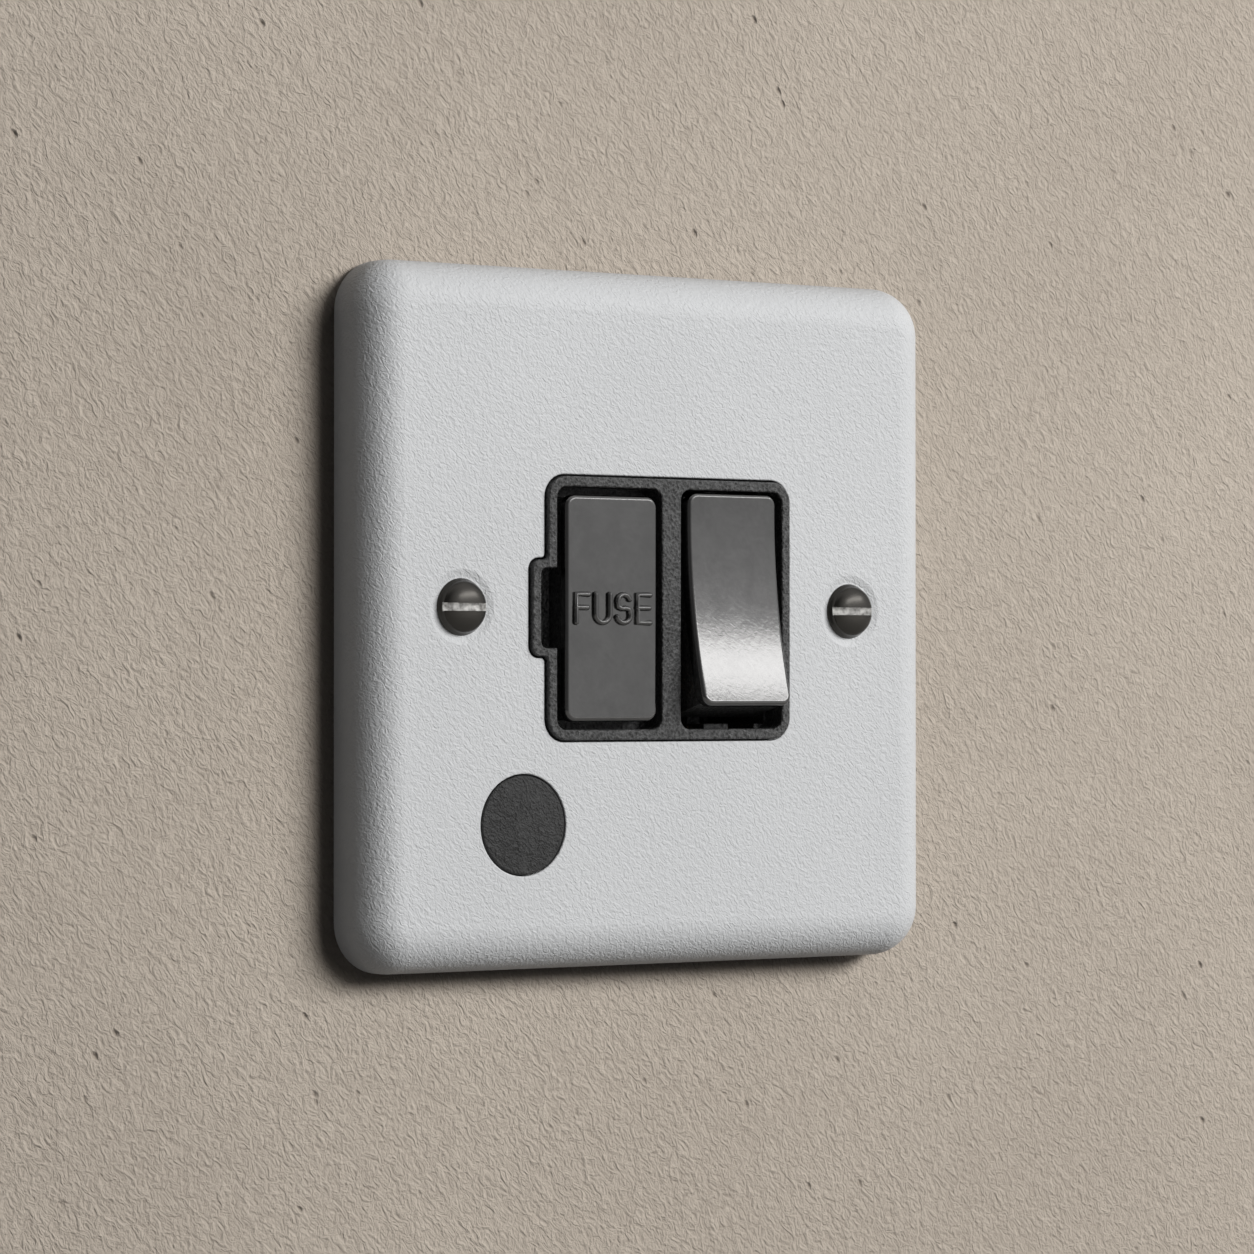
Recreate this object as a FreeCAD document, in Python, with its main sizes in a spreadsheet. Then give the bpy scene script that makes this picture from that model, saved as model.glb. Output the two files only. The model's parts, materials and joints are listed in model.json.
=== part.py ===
import FreeCAD, Part
import math
import os
import Sketcher

# A switched fused spur unit for a wall box, in millimetres.
# +X is right, +Z is up and the wall is the plane Y = 0, with the room on the -Y side.
# The origin is the point of the wall plane midway between the two fixing screws.
# A level is a distance in front of the wall, so it counts towards -Y.

# Driving sizes
SIZES = {
    # pressed steel faceplate
    "plate_width": 88.0,
    "plate_height": 88.0,
    "plate_depth": 7.5,
    "plate_gauge": 1.5,
    "plate_corner": 6.5,
    "plate_roll": 5.5,
    "face_drop": 1.2,
    "fixing_centres": 60.3,
    "fixing_hole": 4.1,
    "dimple_width": 9.4,
    "dimple_depth": 0.25,
    "pierced_edge": 0.2,
    # fixing screws
    "fixing_thread": 3.5,
    "fixing_neck": 3.0,
    "neck_length": 2.15,
    "fixing_reach": 18.0,
    "seat_play": 0.2,
    "head_width": 7.2,
    "head_taper": 0.4,
    "head_edge": 0.85,
    "head_dome": 1.1,
    "slot_width": 1.0,
    "slot_depth": 1.1,
    # moulded insert that shows through the faceplate
    "insert_rim": 1.3,
    "insert_bridge": 3.0,
    "insert_proud": 0.6,
    "insert_corner": 2.7,
    "insert_gap": 0.25,
    "insert_edge": 0.25,
    "aperture_width": 16.0,
    "aperture_height": 30.4,
    "aperture_corner": 1.4,
    "bump_reach": 2.4,
    "bump_height": 12.0,
    "bump_corner": 1.2,
    "bump_root": 0.8,
    "finger_height": 10.0,
    "flange_gauge": 1.5,
    "flange_lap": 2.0,
    # rear housing
    "housing_lap": 6.6,
    "housing_depth": 24.0,
    "housing_wall": 1.6,
    "housing_floor": 1.5,
    "divider_wall": 1.8,
    "step_side": 3.84,
    "entry_play": 0.3,
    "access_play": 0.4,
    "fit_clearance": 0.1,
    # flex outlet and its plug
    "outlet_across": -21.0,
    "outlet_drop": 4.3,
    "plug_width": 12.4,
    "plug_gap": 0.15,
    "plug_lap": 1.1,
    "plug_flange": 1.2,
    "plug_wall": 1.2,
    "plug_edge": 0.3,
    # fuse drawer
    "drawer_gap": 1.0,
    "drawer_proud": 0.4,
    "drawer_travel": 18.0,
    "drawer_face": 1.2,
    "drawer_corner": 0.9,
    "drawer_edge": 0.45,
    "carrier_inset": 0.3,
    "carrier_wall": 1.5,
    "slide_clearance": 0.15,
    "arm_gauge": 1.1,
    "arm_height": 5.0,
    "hook_reach": 0.8,
    "hook_length": 1.6,
    "shoulder": 2.0,
    "jaw_height": 12.0,
    "jaw_wall": 1.5,
    "jaw_wrap": 1.6,
    # cartridge fuse
    "fuse_depth": 5.5,
    "fuse_margin": 1.5,
    "fuse_width": 6.3,
    "fuse_cap_length": 5.6,
    "fuse_cap_gauge": 0.2,
    # contacts and terminals
    "strip_gauge": 0.8,
    "strip_width": 4.0,
    "strip_bend": 0.5,
    "clip_height": 4.6,
    "clip_grip": 1.5,
    "terminal_width": 6.6,
    "terminal_length": 8.0,
    "wire_hole": 4.0,
    "wire_cover": 0.9,
    "terminal_thread": 3.4,
    "terminal_head": 5.4,
    "terminal_head_height": 1.8,
    "earth_width": 14.0,
    "earth_offset": 4.224,
    "strap_width": 5.0,
    # rocker
    "rocker_side_gap": 1.0,
    "rocker_end_gap": 1.8,
    "rocker_face": 10.7,
    "rocker_hollow": 1.1,
    "rocker_skin": 1.6,
    "rocker_edge": 0.45,
    "rocker_corner": 0.8,
    "rocker_swing": 15.0,
    "rocker_inset": 0.3,
    "rocker_shoulder": 2.0,
    "skirt_flare": 1.1,
    "hub_half": 4.5,
    "pivot_depth": 0.5,
    "pivot_width": 3.0,
    "pivot_seat": 1.7,
    "running_clearance": 0.05,
    "pole_pitch": 8.0,
    "plunger_width": 2.4,
    "plunger_reach": 10.0,
    "plunger_guide": 3.5,
    "tube_wall": 0.9,
    "spring_wire": 0.4,
    "wire_sides": 6.0,
    "spring_turns": 5.0,
    # see-saw contacts
    "lever_gauge": 1.0,
    "lever_ratio": 1.3,
    "lever_slope": 35.0,
    "lever_arm": 9.5,
    "lever_heel": 6.2,
    "lever_lift": 1.6,
    "trunnion_width": 0.9,
    "button_width": 2.8,
    "button_height": 0.8,
    "button_seat": 3.92,
    "contact_gap": 0.06,
    "bracket_height": 5.0,
    "cheek_gauge": 0.7,
    "cheek_lip": 1.35,
    # screws that join the housing to the faceplate
    "assembly_thread": 2.6,
    "assembly_head": 5.2,
    "assembly_sink": 2.0,
    "assembly_head_height": 1.6,
    "assembly_slot": 0.8,
    "assembly_stand": 0.3,
    "assembly_play": 0.15,
    "assembly_height": 11.0,
    "weld_nut": 5.0,
    # cord grip
    "cord_width": 7.2,
    "grip_width": 7.0,
    "grip_across": -6.0,
    "grip_screw_pitch": 11.2,
    "grip_end": 1.8,
    "grip_cap": 1.4,
    "grip_root": 1.0,
    "grip_head_height": 1.4,
    "grip_slot_width": 0.8,
    "grip_slot_depth": 0.7,
    "grip_open": 0.6,
    "grip_axis": 3.0,
}

# Two points closer than this are the same point, and a smaller volume is no volume
SAME_POINT = 1e-4
ON_FACE = 1e-3
NO_VOLUME = 1e-6

document = FreeCAD.newDocument("FusedSpurUnit")
sheet = document.addObject("Spreadsheet::Sheet", "Sizes")
for row, (alias, number) in enumerate(SIZES.items(), 1):
    sheet.set(f"A{row}", alias.replace("_", " "))
    sheet.set(f"B{row}", str(number))
    sheet.setAlias(f"B{row}", alias)
document.recompute()


class Size:
    """A length or angle: its value now, and the sheet expression that it follows."""

    def __init__(self, value, text):
        self.value = value
        self.text = text

    @staticmethod
    def of(other):
        return other if isinstance(other, Size) else Size(other, repr(other))

    def __add__(self, other):
        other = Size.of(other)
        return Size(self.value + other.value, f"({self.text} + {other.text})")

    def __sub__(self, other):
        other = Size.of(other)
        return Size(self.value - other.value, f"({self.text} - {other.text})")

    def __mul__(self, other):
        other = Size.of(other)
        return Size(self.value * other.value, f"({self.text} * {other.text})")

    def __truediv__(self, other):
        other = Size.of(other)
        return Size(self.value / other.value, f"({self.text} / {other.text})")

    def __neg__(self):
        return Size(-self.value, f"(0 - {self.text})")

    __radd__ = __add__
    __rmul__ = __mul__

    def __rsub__(self, other):
        return Size.of(other) - self


def sine(angle):
    return Size(math.sin(math.radians(angle.value)), f"sin({angle.text})")


def cosine(angle):
    return Size(math.cos(math.radians(angle.value)), f"cos({angle.text})")


class Book:
    """The sheet's cells as Size values, read by name."""

    def __getattr__(self, alias):
        return Size(float(sheet.get(alias)), f"Sizes.{alias}")


s = Book()


# Helpers that build bound features
def bind(item, path, size):
    item.setExpression(path, Size.of(size).text)


def new_body(label):
    body = document.addObject("PartDesign::Body", "Body")
    body.Label = label
    return body


def origin_plane(body, role):
    return next(item for item in body.Origin.OriginFeatures if item.Role == role)


def attach(item, body, role, level, across=0, up=0):
    """Put a sketch or a primitive on one of the body's planes, moved within it and off it."""
    item.AttachmentSupport = [(origin_plane(body, role), "")]
    item.MapMode = "FlatFace"
    bind(item, "AttachmentOffset.Base.x", across)
    bind(item, "AttachmentOffset.Base.y", up)
    bind(item, "AttachmentOffset.Base.z", level)


def outline(body, role, level, corners):
    """A closed sketch of straight edges, with every corner held by two bound distances."""
    sketch = body.newObject("Sketcher::SketchObject", "Outline")
    attach(sketch, body, role, level)
    points = [FreeCAD.Vector(Size.of(c[0]).value, Size.of(c[1]).value, 0) for c in corners]
    count = len(points)
    edges = [Part.LineSegment(points[i], points[(i + 1) % count]) for i in range(count)]
    sketch.addGeometry(edges, False)
    constraints = [
        Sketcher.Constraint("Coincident", i, 2, (i + 1) % count, 1) for i in range(count)
    ]
    for i, point in enumerate(points):
        constraints.append(Sketcher.Constraint("DistanceX", -1, 1, i, 1, point.x))
        constraints.append(Sketcher.Constraint("DistanceY", -1, 1, i, 1, point.y))
    sketch.addConstraint(constraints)
    for i, corner in enumerate(corners):
        bind(sketch, f"Constraints[{count + 2 * i}]", corner[0])
        bind(sketch, f"Constraints[{count + 2 * i + 1}]", corner[1])
    return sketch


def rectangle(left, right, low, high, radius=None):
    return [
        (left, low, radius),
        (right, low, radius),
        (right, high, radius),
        (left, high, radius),
    ]


def block(across, up, width, height, radius=None):
    """A rectangle about a centre."""
    return rectangle(
        across - width / 2, across + width / 2, up - height / 2, up + height / 2, radius
    )


def corner_edges(feature, role, span, corner):
    """The straight edges that stand on the plane at this corner, within a span of levels."""
    names = []
    for number, edge in enumerate(feature.Shape.Edges, 1):
        if edge.Curve.TypeId != "Part::GeomLine":
            continue
        first, last = edge.Vertexes[0].Point, edge.Vertexes[-1].Point
        flat = {
            "XZ_Plane": lambda p: (p.x, p.z, -p.y),
            "YZ_Plane": lambda p: (p.y, p.z, p.x),
            "XY_Plane": lambda p: (p.x, p.y, p.z),
        }[role]
        a, b = flat(first), flat(last)
        here = (Size.of(corner[0]).value, Size.of(corner[1]).value)
        on_corner = all(abs(end[k] - here[k]) < SAME_POINT for end in (a, b) for k in (0, 1))
        shared = min(max(a[2], b[2]), span[1]) - max(min(a[2], b[2]), span[0])
        if on_corner and shared > SAME_POINT:
            names.append(f"Edge{number}")
    return names


def round_corners(body, feature, role, span, corners):
    """Fillet the corners that state a radius, one feature for each radius."""
    by_radius = {}
    for corner in corners:
        if corner[2] is not None:
            by_radius.setdefault(Size.of(corner[2]).text, []).append(corner)
    for same in by_radius.values():
        names = [n for corner in same for n in corner_edges(feature, role, span, corner)]
        feature = fillet(body, feature, names, same[0][2])
    return feature


def fillet(body, feature, names, radius):
    if not names:
        raise RuntimeError(f"{body.Label}: no edge found to round")
    rounded = body.newObject("PartDesign::Fillet", "Fillet")
    rounded.Base = (feature, names)
    bind(rounded, "Radius", radius)
    document.recompute()
    return rounded


def pad(body, role, level, length, corners, backwards=False, midplane=False):
    feature = body.newObject("PartDesign::Pad", "Pad")
    feature.Profile = outline(body, role, level, corners)
    bind(feature, "Length", length)
    feature.Reversed = backwards
    feature.Midplane = midplane
    document.recompute()
    start, depth = Size.of(level).value, Size.of(length).value
    span = (start, start + depth)
    if backwards:
        span = (start - depth, start)
    if midplane:
        span = (start - depth / 2, start + depth / 2)
    return round_corners(body, feature, role, span, corners)


def pocket(body, role, level, length, corners, towards_front=False):
    """Cut from the level away from the room, or towards it."""
    feature = body.newObject("PartDesign::Pocket", "Pocket")
    feature.Profile = outline(body, role, level, corners)
    bind(feature, "Length", length)
    feature.Reversed = towards_front
    document.recompute()
    if feature.Shape.Volume >= feature.BaseFeature.Shape.Volume - NO_VOLUME:
        raise RuntimeError(f"{body.Label}: a pocket cuts nothing")
    start, depth = Size.of(level).value, Size.of(length).value
    span = (start, start + depth) if towards_front else (start - depth, start)
    return round_corners(body, feature, role, span, corners)


def solid_round(body, kind, role, level, across, up, **sizes):
    """An additive or subtractive cylinder, cone or sphere that stands on a plane."""
    feature = body.newObject(f"PartDesign::{kind}", kind)
    attach(feature, body, role, level, across, up)
    for name, size in sizes.items():
        bind(feature, name, size)
    document.recompute()
    return feature


def drill(body, role, level, across, up, width, length):
    """A round hole that starts at the level and runs along the plane's normal."""
    return solid_round(
        body, "SubtractiveCylinder", role, level, across, up, Radius=width / 2, Height=length
    )


def peg(body, role, level, across, up, width, length):
    return solid_round(
        body, "AdditiveCylinder", role, level, across, up, Radius=width / 2, Height=length
    )


def bore_all(body, role, level, places, width, length, towards_front=False):
    """One pocket that cuts a round hole at each place, from the level away from the room."""
    sketch = body.newObject("Sketcher::SketchObject", "Holes")
    attach(sketch, body, role, level)
    normal = FreeCAD.Vector(0, 0, 1)
    radius = width / 2
    for number, (across, up) in enumerate(places):
        centre = FreeCAD.Vector(Size.of(across).value, Size.of(up).value, 0)
        sketch.addGeometry(Part.Circle(centre, normal, radius.value), False)
        sketch.addConstraint(
            [
                Sketcher.Constraint("DistanceX", -1, 1, number, 3, centre.x),
                Sketcher.Constraint("DistanceY", -1, 1, number, 3, centre.y),
                Sketcher.Constraint("Radius", number, radius.value),
            ]
        )
        bind(sketch, f"Constraints[{3 * number}]", across)
        bind(sketch, f"Constraints[{3 * number + 1}]", up)
        bind(sketch, f"Constraints[{3 * number + 2}]", radius)
    feature = body.newObject("PartDesign::Pocket", "Bores")
    feature.Profile = sketch
    bind(feature, "Length", length)
    feature.Reversed = towards_front
    document.recompute()
    if feature.Shape.Volume >= feature.BaseFeature.Shape.Volume - NO_VOLUME:
        raise RuntimeError(f"{body.Label}: a bore cuts nothing")
    return feature


def edges_at_level(feature, level):
    """Edges that lie wholly in the plane at this distance in front of the wall."""
    names = []
    for number, edge in enumerate(feature.Shape.Edges, 1):
        box = edge.BoundBox
        if abs(box.YMin + level) < SAME_POINT and abs(box.YMax + level) < SAME_POINT:
            names.append(f"Edge{number}")
    return names


# Places that several pieces share
plate_middle = -s.face_drop
plate_inside = s.plate_depth - s.plate_gauge
flange_back = plate_inside - s.flange_gauge
housing_back = flange_back - s.housing_depth
housing_inside = housing_back + s.housing_floor
insert_front = s.plate_depth + s.insert_proud
fixing_across = s.fixing_centres / 2

insert_width = s.aperture_width * 2 + s.insert_bridge + s.insert_rim * 2
insert_height = s.aperture_height + s.insert_rim * 2
insert_right = (insert_width + s.bump_reach) / 2
insert_left = insert_right - insert_width
bump_left = -insert_right
outlet_below = insert_height / 2 + s.outlet_drop + s.plug_width / 2
fuse_across = insert_left + s.insert_rim + s.aperture_width / 2
rocker_across = insert_right - s.insert_rim - s.aperture_width / 2

# Fuse bay and its drawer
drawer_width = s.aperture_width - s.drawer_gap * 2
drawer_height = s.aperture_height - s.drawer_gap * 2
carrier_width = drawer_width - s.carrier_inset * 2
carrier_height = drawer_height - s.carrier_inset * 2
bay_width = carrier_width + s.slide_clearance * 2
bay_height = carrier_height + s.slide_clearance * 2
drawer_front = insert_front + s.drawer_proud
shoulder_back = flange_back - s.shoulder
hook_front = shoulder_back - s.drawer_travel - s.fit_clearance
arm_back = hook_front - s.hook_length
groove_width = carrier_width + (s.hook_reach + s.slide_clearance) * 2
groove_height = s.arm_height + s.slide_clearance * 4
fuse_radius = s.fuse_width / 2
fuse_length = drawer_height - s.fuse_margin * 2
barrel_width = s.fuse_width - s.fuse_cap_gauge * 2
carrier_back = fuse_radius - s.fuse_depth + s.strip_gauge

# Clips, whose bases lie at the depth of the terminals' front faces
terminal_front = housing_inside + s.terminal_length
clip_middle = fuse_length / 2 - s.fuse_cap_length / 2
clip_inner = s.fuse_width + s.fit_clearance * 2
clip_outer = clip_inner + s.strip_gauge * 2
clip_front = s.clip_grip - s.fuse_depth

# Rocker, built about its pivot
half_swing = s.rocker_swing / 2
rocker_width = s.aperture_width - s.rocker_side_gap * 2
half_chord = s.aperture_height / 2 - s.rocker_end_gap
face_radius = (half_chord * half_chord + s.rocker_hollow * s.rocker_hollow) / (s.rocker_hollow * 2)
face_centre = s.rocker_face - s.rocker_hollow + face_radius
skin_radius = face_radius + s.rocker_skin
rocker_body_width = rocker_width - s.rocker_inset * 2
rocker_body_half = half_chord - s.rocker_inset
bearing_reach = s.aperture_width / 2 + s.pivot_seat
chamber_width = s.aperture_width - s.rocker_inset * 2
chamber_height = s.aperture_height - s.rocker_inset * 4
shoulder_half = rocker_body_half + s.skirt_flare
stop_level = s.rocker_shoulder * cosine(half_swing) - shoulder_half * sine(half_swing)
stop_level = stop_level - s.pivot_depth - s.fit_clearance

# See-saw contacts: the saddle follows the plunger's nose at every angle of the rocker
nose_radius = s.plunger_width / 2
seat_height = s.lever_gauge / 2 + nose_radius + s.fit_clearance
nose_speed = s.plunger_reach - seat_height * s.lever_ratio
nose_dip = s.plunger_reach / 2 + s.plunger_reach * s.lever_ratio
nose_dip = nose_dip - seat_height * s.lever_ratio * s.lever_ratio / 2
path_radius = nose_speed * nose_speed / (nose_dip * 2)
saddle_radius = path_radius + nose_radius + s.fit_clearance
saddle_centre = seat_height + path_radius
lever_depth = s.pivot_depth + s.plunger_reach + seat_height
lever_tilt = half_swing * s.lever_ratio
pole_live = rocker_across - s.pole_pitch / 2
pole_neutral = rocker_across + s.pole_pitch / 2
pole_width = s.strip_width + (s.fit_clearance * 2 + s.cheek_gauge) * 2 + s.fit_clearance * 2
pole_front = -(lever_depth - s.lever_lift - s.lever_arm * sine(lever_tilt) - s.button_width / 2)
button_back = s.button_height - s.lever_lift + s.lever_gauge
button_edge = s.lever_arm + s.button_width / 2
fixed_button = lever_depth + button_back * cosine(lever_tilt) + button_edge * sine(lever_tilt)
fixed_button = fixed_button + s.contact_gap
fixed_strip_back = fixed_button + s.button_height + s.strip_gauge
bracket_back = lever_depth + s.lever_gauge + s.strip_gauge * 3

# Terminals in rows above and below the chambers
terminal_space = s.terminal_width + s.fit_clearance * 2
terminal_low = chamber_height / 2 + s.divider_wall
terminal_high = terminal_low + terminal_space
terminal_up = (terminal_low + terminal_high) / 2
housing_top = terminal_high + s.housing_wall
housing_right = insert_width / 2 + s.housing_lap
housing_left = -housing_right
step_up = -(insert_height / 2 + s.flange_lap)
step_across = pole_live - terminal_space / 2 - s.step_side
earth_across = fuse_across - s.earth_offset
wire_depth = terminal_front - s.wire_hole / 2 - s.wire_cover
screw_tip = wire_depth - s.wire_hole / 2 - s.fit_clearance * 2
strip_turn = chamber_height / 2 - s.strip_gauge * 2
strip_end = terminal_high - s.strip_gauge

# Screws that hold the housing and the insert to the faceplate
assembly_left = (housing_left + fuse_across - groove_width / 2) / 2
assembly_right = (housing_right + rocker_across + chamber_width / 2) / 2
assembly_seat = housing_back + s.assembly_sink
assembly_tip = plate_inside + s.assembly_stand

# Cord grip below the housing
grip_up = step_up - s.grip_screw_pitch / 2 - s.grip_end - s.fit_clearance * 2
grip_height = s.grip_screw_pitch + s.grip_end * 2
saddle_top = s.grip_open / 2 - s.grip_axis
grip_base = -(s.grip_open / 2 + s.grip_axis)
grip_back = grip_base + s.grip_open / 2 - s.cord_width / 2 - s.grip_cap


def insert_outline(grow):
    """The insert's outline seen from the front, with the small bump at its left, grown by a gap."""
    top = insert_height / 2 + grow
    bump = s.bump_height / 2 + grow
    left = insert_left - grow
    right = insert_right + grow
    far_left = bump_left - grow
    outer = s.insert_corner + grow
    bump_round = s.bump_corner + grow
    inner = s.bump_root - grow
    return [
        (left, -top, outer),
        (right, -top, outer),
        (right, top, outer),
        (left, top, outer),
        (left, bump, inner),
        (far_left, bump, bump_round),
        (far_left, -bump, bump_round),
        (left, -bump, inner),
    ]


def housing_outline():
    """The housing seen from the front, cut back at its lower left for the flex outlet."""
    return [
        (housing_left, step_up, s.insert_corner),
        (step_across, step_up, s.bump_corner),
        (step_across, -housing_top, s.insert_corner),
        (housing_right, -housing_top, s.insert_corner),
        (housing_right, housing_top, s.insert_corner),
        (housing_left, housing_top, s.insert_corner),
    ]


def strip_profile(near, turn, far, back, front):
    """A contact strip bent twice: along the chamber, forwards, and over a terminal."""
    gauge = s.strip_gauge
    outer = s.strip_bend + gauge
    return [
        (back, near, None),
        (back - gauge, near, None),
        (back - gauge, turn, s.strip_bend),
        (front - gauge, turn, outer),
        (front - gauge, far, None),
        (front, far, None),
        (front, turn + gauge, s.strip_bend),
        (back, turn + gauge, outer),
    ]


def mirrored_up(corners):
    return [(across, -up, radius) for across, up, radius in corners]


def assembly_places():
    return [
        (across, up)
        for across in (assembly_left, assembly_right)
        for up in (-s.assembly_height, s.assembly_height)
    ]


def grip_places():
    half = s.grip_screw_pitch / 2
    return [(s.grip_across, grip_up - half), (s.grip_across, grip_up + half)]


def terminal_places():
    """Across and up of each terminal screw, with the two of the earth terminal last."""
    poles = [(across, up) for across in (pole_live, pole_neutral) for up in (terminal_up, -terminal_up)]
    shift = s.earth_width / 4
    return poles + [(earth_across - shift, terminal_up), (earth_across + shift, terminal_up)]


# Faceplate: a pressed shell, open at the back
def make_faceplate():
    body = new_body("faceplate")
    outside = block(Size.of(0), plate_middle, s.plate_width, s.plate_height, s.plate_corner)
    shell = pad(body, "XZ_Plane", 0, s.plate_depth, outside)
    shell = fillet(body, shell, edges_at_level(shell, s.plate_depth.value), s.plate_roll)
    hollow = body.newObject("PartDesign::Thickness", "Thickness")
    back = max(range(len(shell.Shape.Faces)), key=lambda i: shell.Shape.Faces[i].CenterOfMass.y)
    hollow.Base = (shell, [f"Face{back + 1}"])
    hollow.Reversed = True
    hollow.Join = 1
    bind(hollow, "Value", s.plate_gauge)
    document.recompute()
    pocket(body, "XZ_Plane", s.plate_depth, s.plate_depth, insert_outline(s.insert_gap))
    hole = s.plug_width + s.plug_gap * 2
    outlet = [(s.outlet_across, -outlet_below)]
    bore_all(body, "XZ_Plane", s.plate_depth, outlet, hole, s.plate_depth)
    sides = (-fixing_across, fixing_across)
    fixings = [(across, Size.of(0)) for across in sides]
    bore_all(body, "XZ_Plane", s.plate_depth, fixings, s.fixing_hole, s.plate_depth)
    for across in sides:
        solid_round(
            body,
            "SubtractiveCone",
            "XZ_Plane",
            s.plate_depth - s.dimple_depth,
            across,
            Size.of(0),
            Radius1=s.head_width / 2 + s.seat_play,
            Radius2=s.dimple_width / 2,
            Height=s.dimple_depth,
        )
    face = body.Tip
    fillet(body, face, edges_at_level(face, s.plate_depth.value), s.pierced_edge)
    for across, up in assembly_places():
        peg(body, "XZ_Plane", flange_back, across, up, s.weld_nut, s.flange_gauge)
    tapped = s.assembly_thread + s.running_clearance * 2
    tapped_end = plate_inside + s.plate_gauge / 2
    tapped_depth = tapped_end - flange_back
    bore_all(body, "XZ_Plane", tapped_end, assembly_places(), tapped, tapped_depth)
    return body


# Fixing screws: raised heads with a straight slot
def slotted_screw(
    label, head, shank, tip_to_head, head_height, slot, slot_sink, dome=None, taper=0, neck=None
):
    """A screw along +Z with the underside of its head at Z = 0."""
    threaded = tip_to_head if neck is None else tip_to_head - s.neck_length
    shaft = document.addObject("Part::Cylinder", "Shank")
    bind(shaft, "Radius", shank / 2)
    bind(shaft, "Height", threaded)
    bind(shaft, "Placement.Base.z", -tip_to_head)
    rim = document.addObject("Part::Cone", "HeadRim")
    bind(rim, "Radius1", head / 2)
    bind(rim, "Radius2", head / 2 - taper)
    bind(rim, "Height", head_height)
    pieces = [shaft, rim]
    if neck is not None:
        plain = document.addObject("Part::Cylinder", "Neck")
        bind(plain, "Radius", neck / 2)
        bind(plain, "Height", s.neck_length)
        bind(plain, "Placement.Base.z", -s.neck_length)
        pieces.append(plain)
    top = Size.of(head_height)
    if dome is not None:
        flat = head / 2 - taper
        radius = (flat * flat + dome * dome) / (dome * 2)
        ball = document.addObject("Part::Sphere", "Ball")
        bind(ball, "Radius", radius)
        bind(ball, "Placement.Base.z", top + dome - radius)
        limit = document.addObject("Part::Cylinder", "DomeLimit")
        bind(limit, "Radius", flat)
        bind(limit, "Height", dome * 2)
        bind(limit, "Placement.Base.z", top)
        cap = document.addObject("Part::Common", "Dome")
        cap.Base = ball
        cap.Tool = limit
        pieces.append(cap)
        top = top + dome
    whole = document.addObject("Part::MultiFuse", "Screw")
    whole.Shapes = pieces
    cutter = document.addObject("Part::Box", "Slot")
    bind(cutter, "Length", head * 2)
    bind(cutter, "Width", slot)
    bind(cutter, "Height", slot_sink * 2)
    bind(cutter, "Placement.Base.x", -head)
    bind(cutter, "Placement.Base.y", -slot / 2)
    bind(cutter, "Placement.Base.z", top - slot_sink)
    screw = document.addObject("Part::Cut", "SlottedScrew")
    screw.Base = whole
    screw.Tool = cutter
    screw.Label = label
    return screw


def stand(item, across, level, up, quarter_turns=1):
    """Turn a piece drawn along +Z to face the room, or the wall with three quarter turns."""
    item.Placement.Rotation = FreeCAD.Rotation(FreeCAD.Vector(1, 0, 0), 90 * quarter_turns)
    bind(item, "Placement.Base.x", across)
    bind(item, "Placement.Base.y", -Size.of(level))
    bind(item, "Placement.Base.z", up)


def make_fixing_screws():
    seat = s.plate_depth - s.dimple_depth
    screws = []
    for side, across in (("left", -fixing_across), ("right", fixing_across)):
        screw = slotted_screw(
            f"fixing_screw_{side}",
            s.head_width,
            s.fixing_thread,
            s.fixing_reach + seat,
            s.head_edge,
            s.slot_width,
            s.slot_depth,
            s.head_dome,
            s.head_taper,
            s.fixing_neck,
        )
        stand(screw, across, seat, Size.of(0))
        screws.append(screw)
    return screws


# Insert moulding: a flange behind the faceplate and the black frame in front of it
def make_insert():
    body = new_body("insert_moulding")
    pad(body, "XZ_Plane", flange_back, s.flange_gauge, housing_outline())
    pad(body, "XZ_Plane", flange_back, insert_front - flange_back, insert_outline(0))
    deep = insert_front - flange_back
    half = s.aperture_height / 2
    rocker_window = block(
        rocker_across, Size.of(0), s.aperture_width, s.aperture_height, s.aperture_corner
    )
    pocket(body, "XZ_Plane", insert_front, deep, rocker_window)
    left = fuse_across - s.aperture_width / 2
    right = fuse_across + s.aperture_width / 2
    finger_left = bump_left + s.insert_rim
    finger = s.finger_height / 2
    fuse_window = [
        (left, -half, s.aperture_corner),
        (right, -half, s.aperture_corner),
        (right, half, s.aperture_corner),
        (left, half, s.aperture_corner),
        (left, finger, None),
        (finger_left, finger, s.bump_root),
        (finger_left, -finger, s.bump_root),
        (left, -finger, None),
    ]
    frame = pocket(body, "XZ_Plane", insert_front, deep, fuse_window)
    fillet(body, frame, edges_at_level(frame, insert_front.value), s.insert_edge)
    hole = s.weld_nut + s.fit_clearance * 2
    bore_all(body, "XZ_Plane", plate_inside, assembly_places(), hole, s.flange_gauge)
    strap = rectangle(
        earth_across - s.strap_width / 2 - s.fit_clearance * 2,
        earth_across + s.strap_width / 2 + s.fit_clearance * 2,
        terminal_low + s.strip_gauge * 2,
        terminal_high,
    )
    pocket(body, "XZ_Plane", plate_inside, s.flange_gauge, strap)
    keeper_length = flange_back + s.pivot_depth - s.pivot_width / 2 - s.fit_clearance
    for side in (-1, 1):
        inner = s.aperture_width / 2 + s.fit_clearance
        outer = bearing_reach - s.fit_clearance
        middle = rocker_across + side * (inner + outer) / 2
        keeper = block(middle, Size.of(0), outer - inner, s.pivot_width - s.fit_clearance * 2)
        pad(body, "XZ_Plane", flange_back, keeper_length, keeper, backwards=True)
    return body


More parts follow.
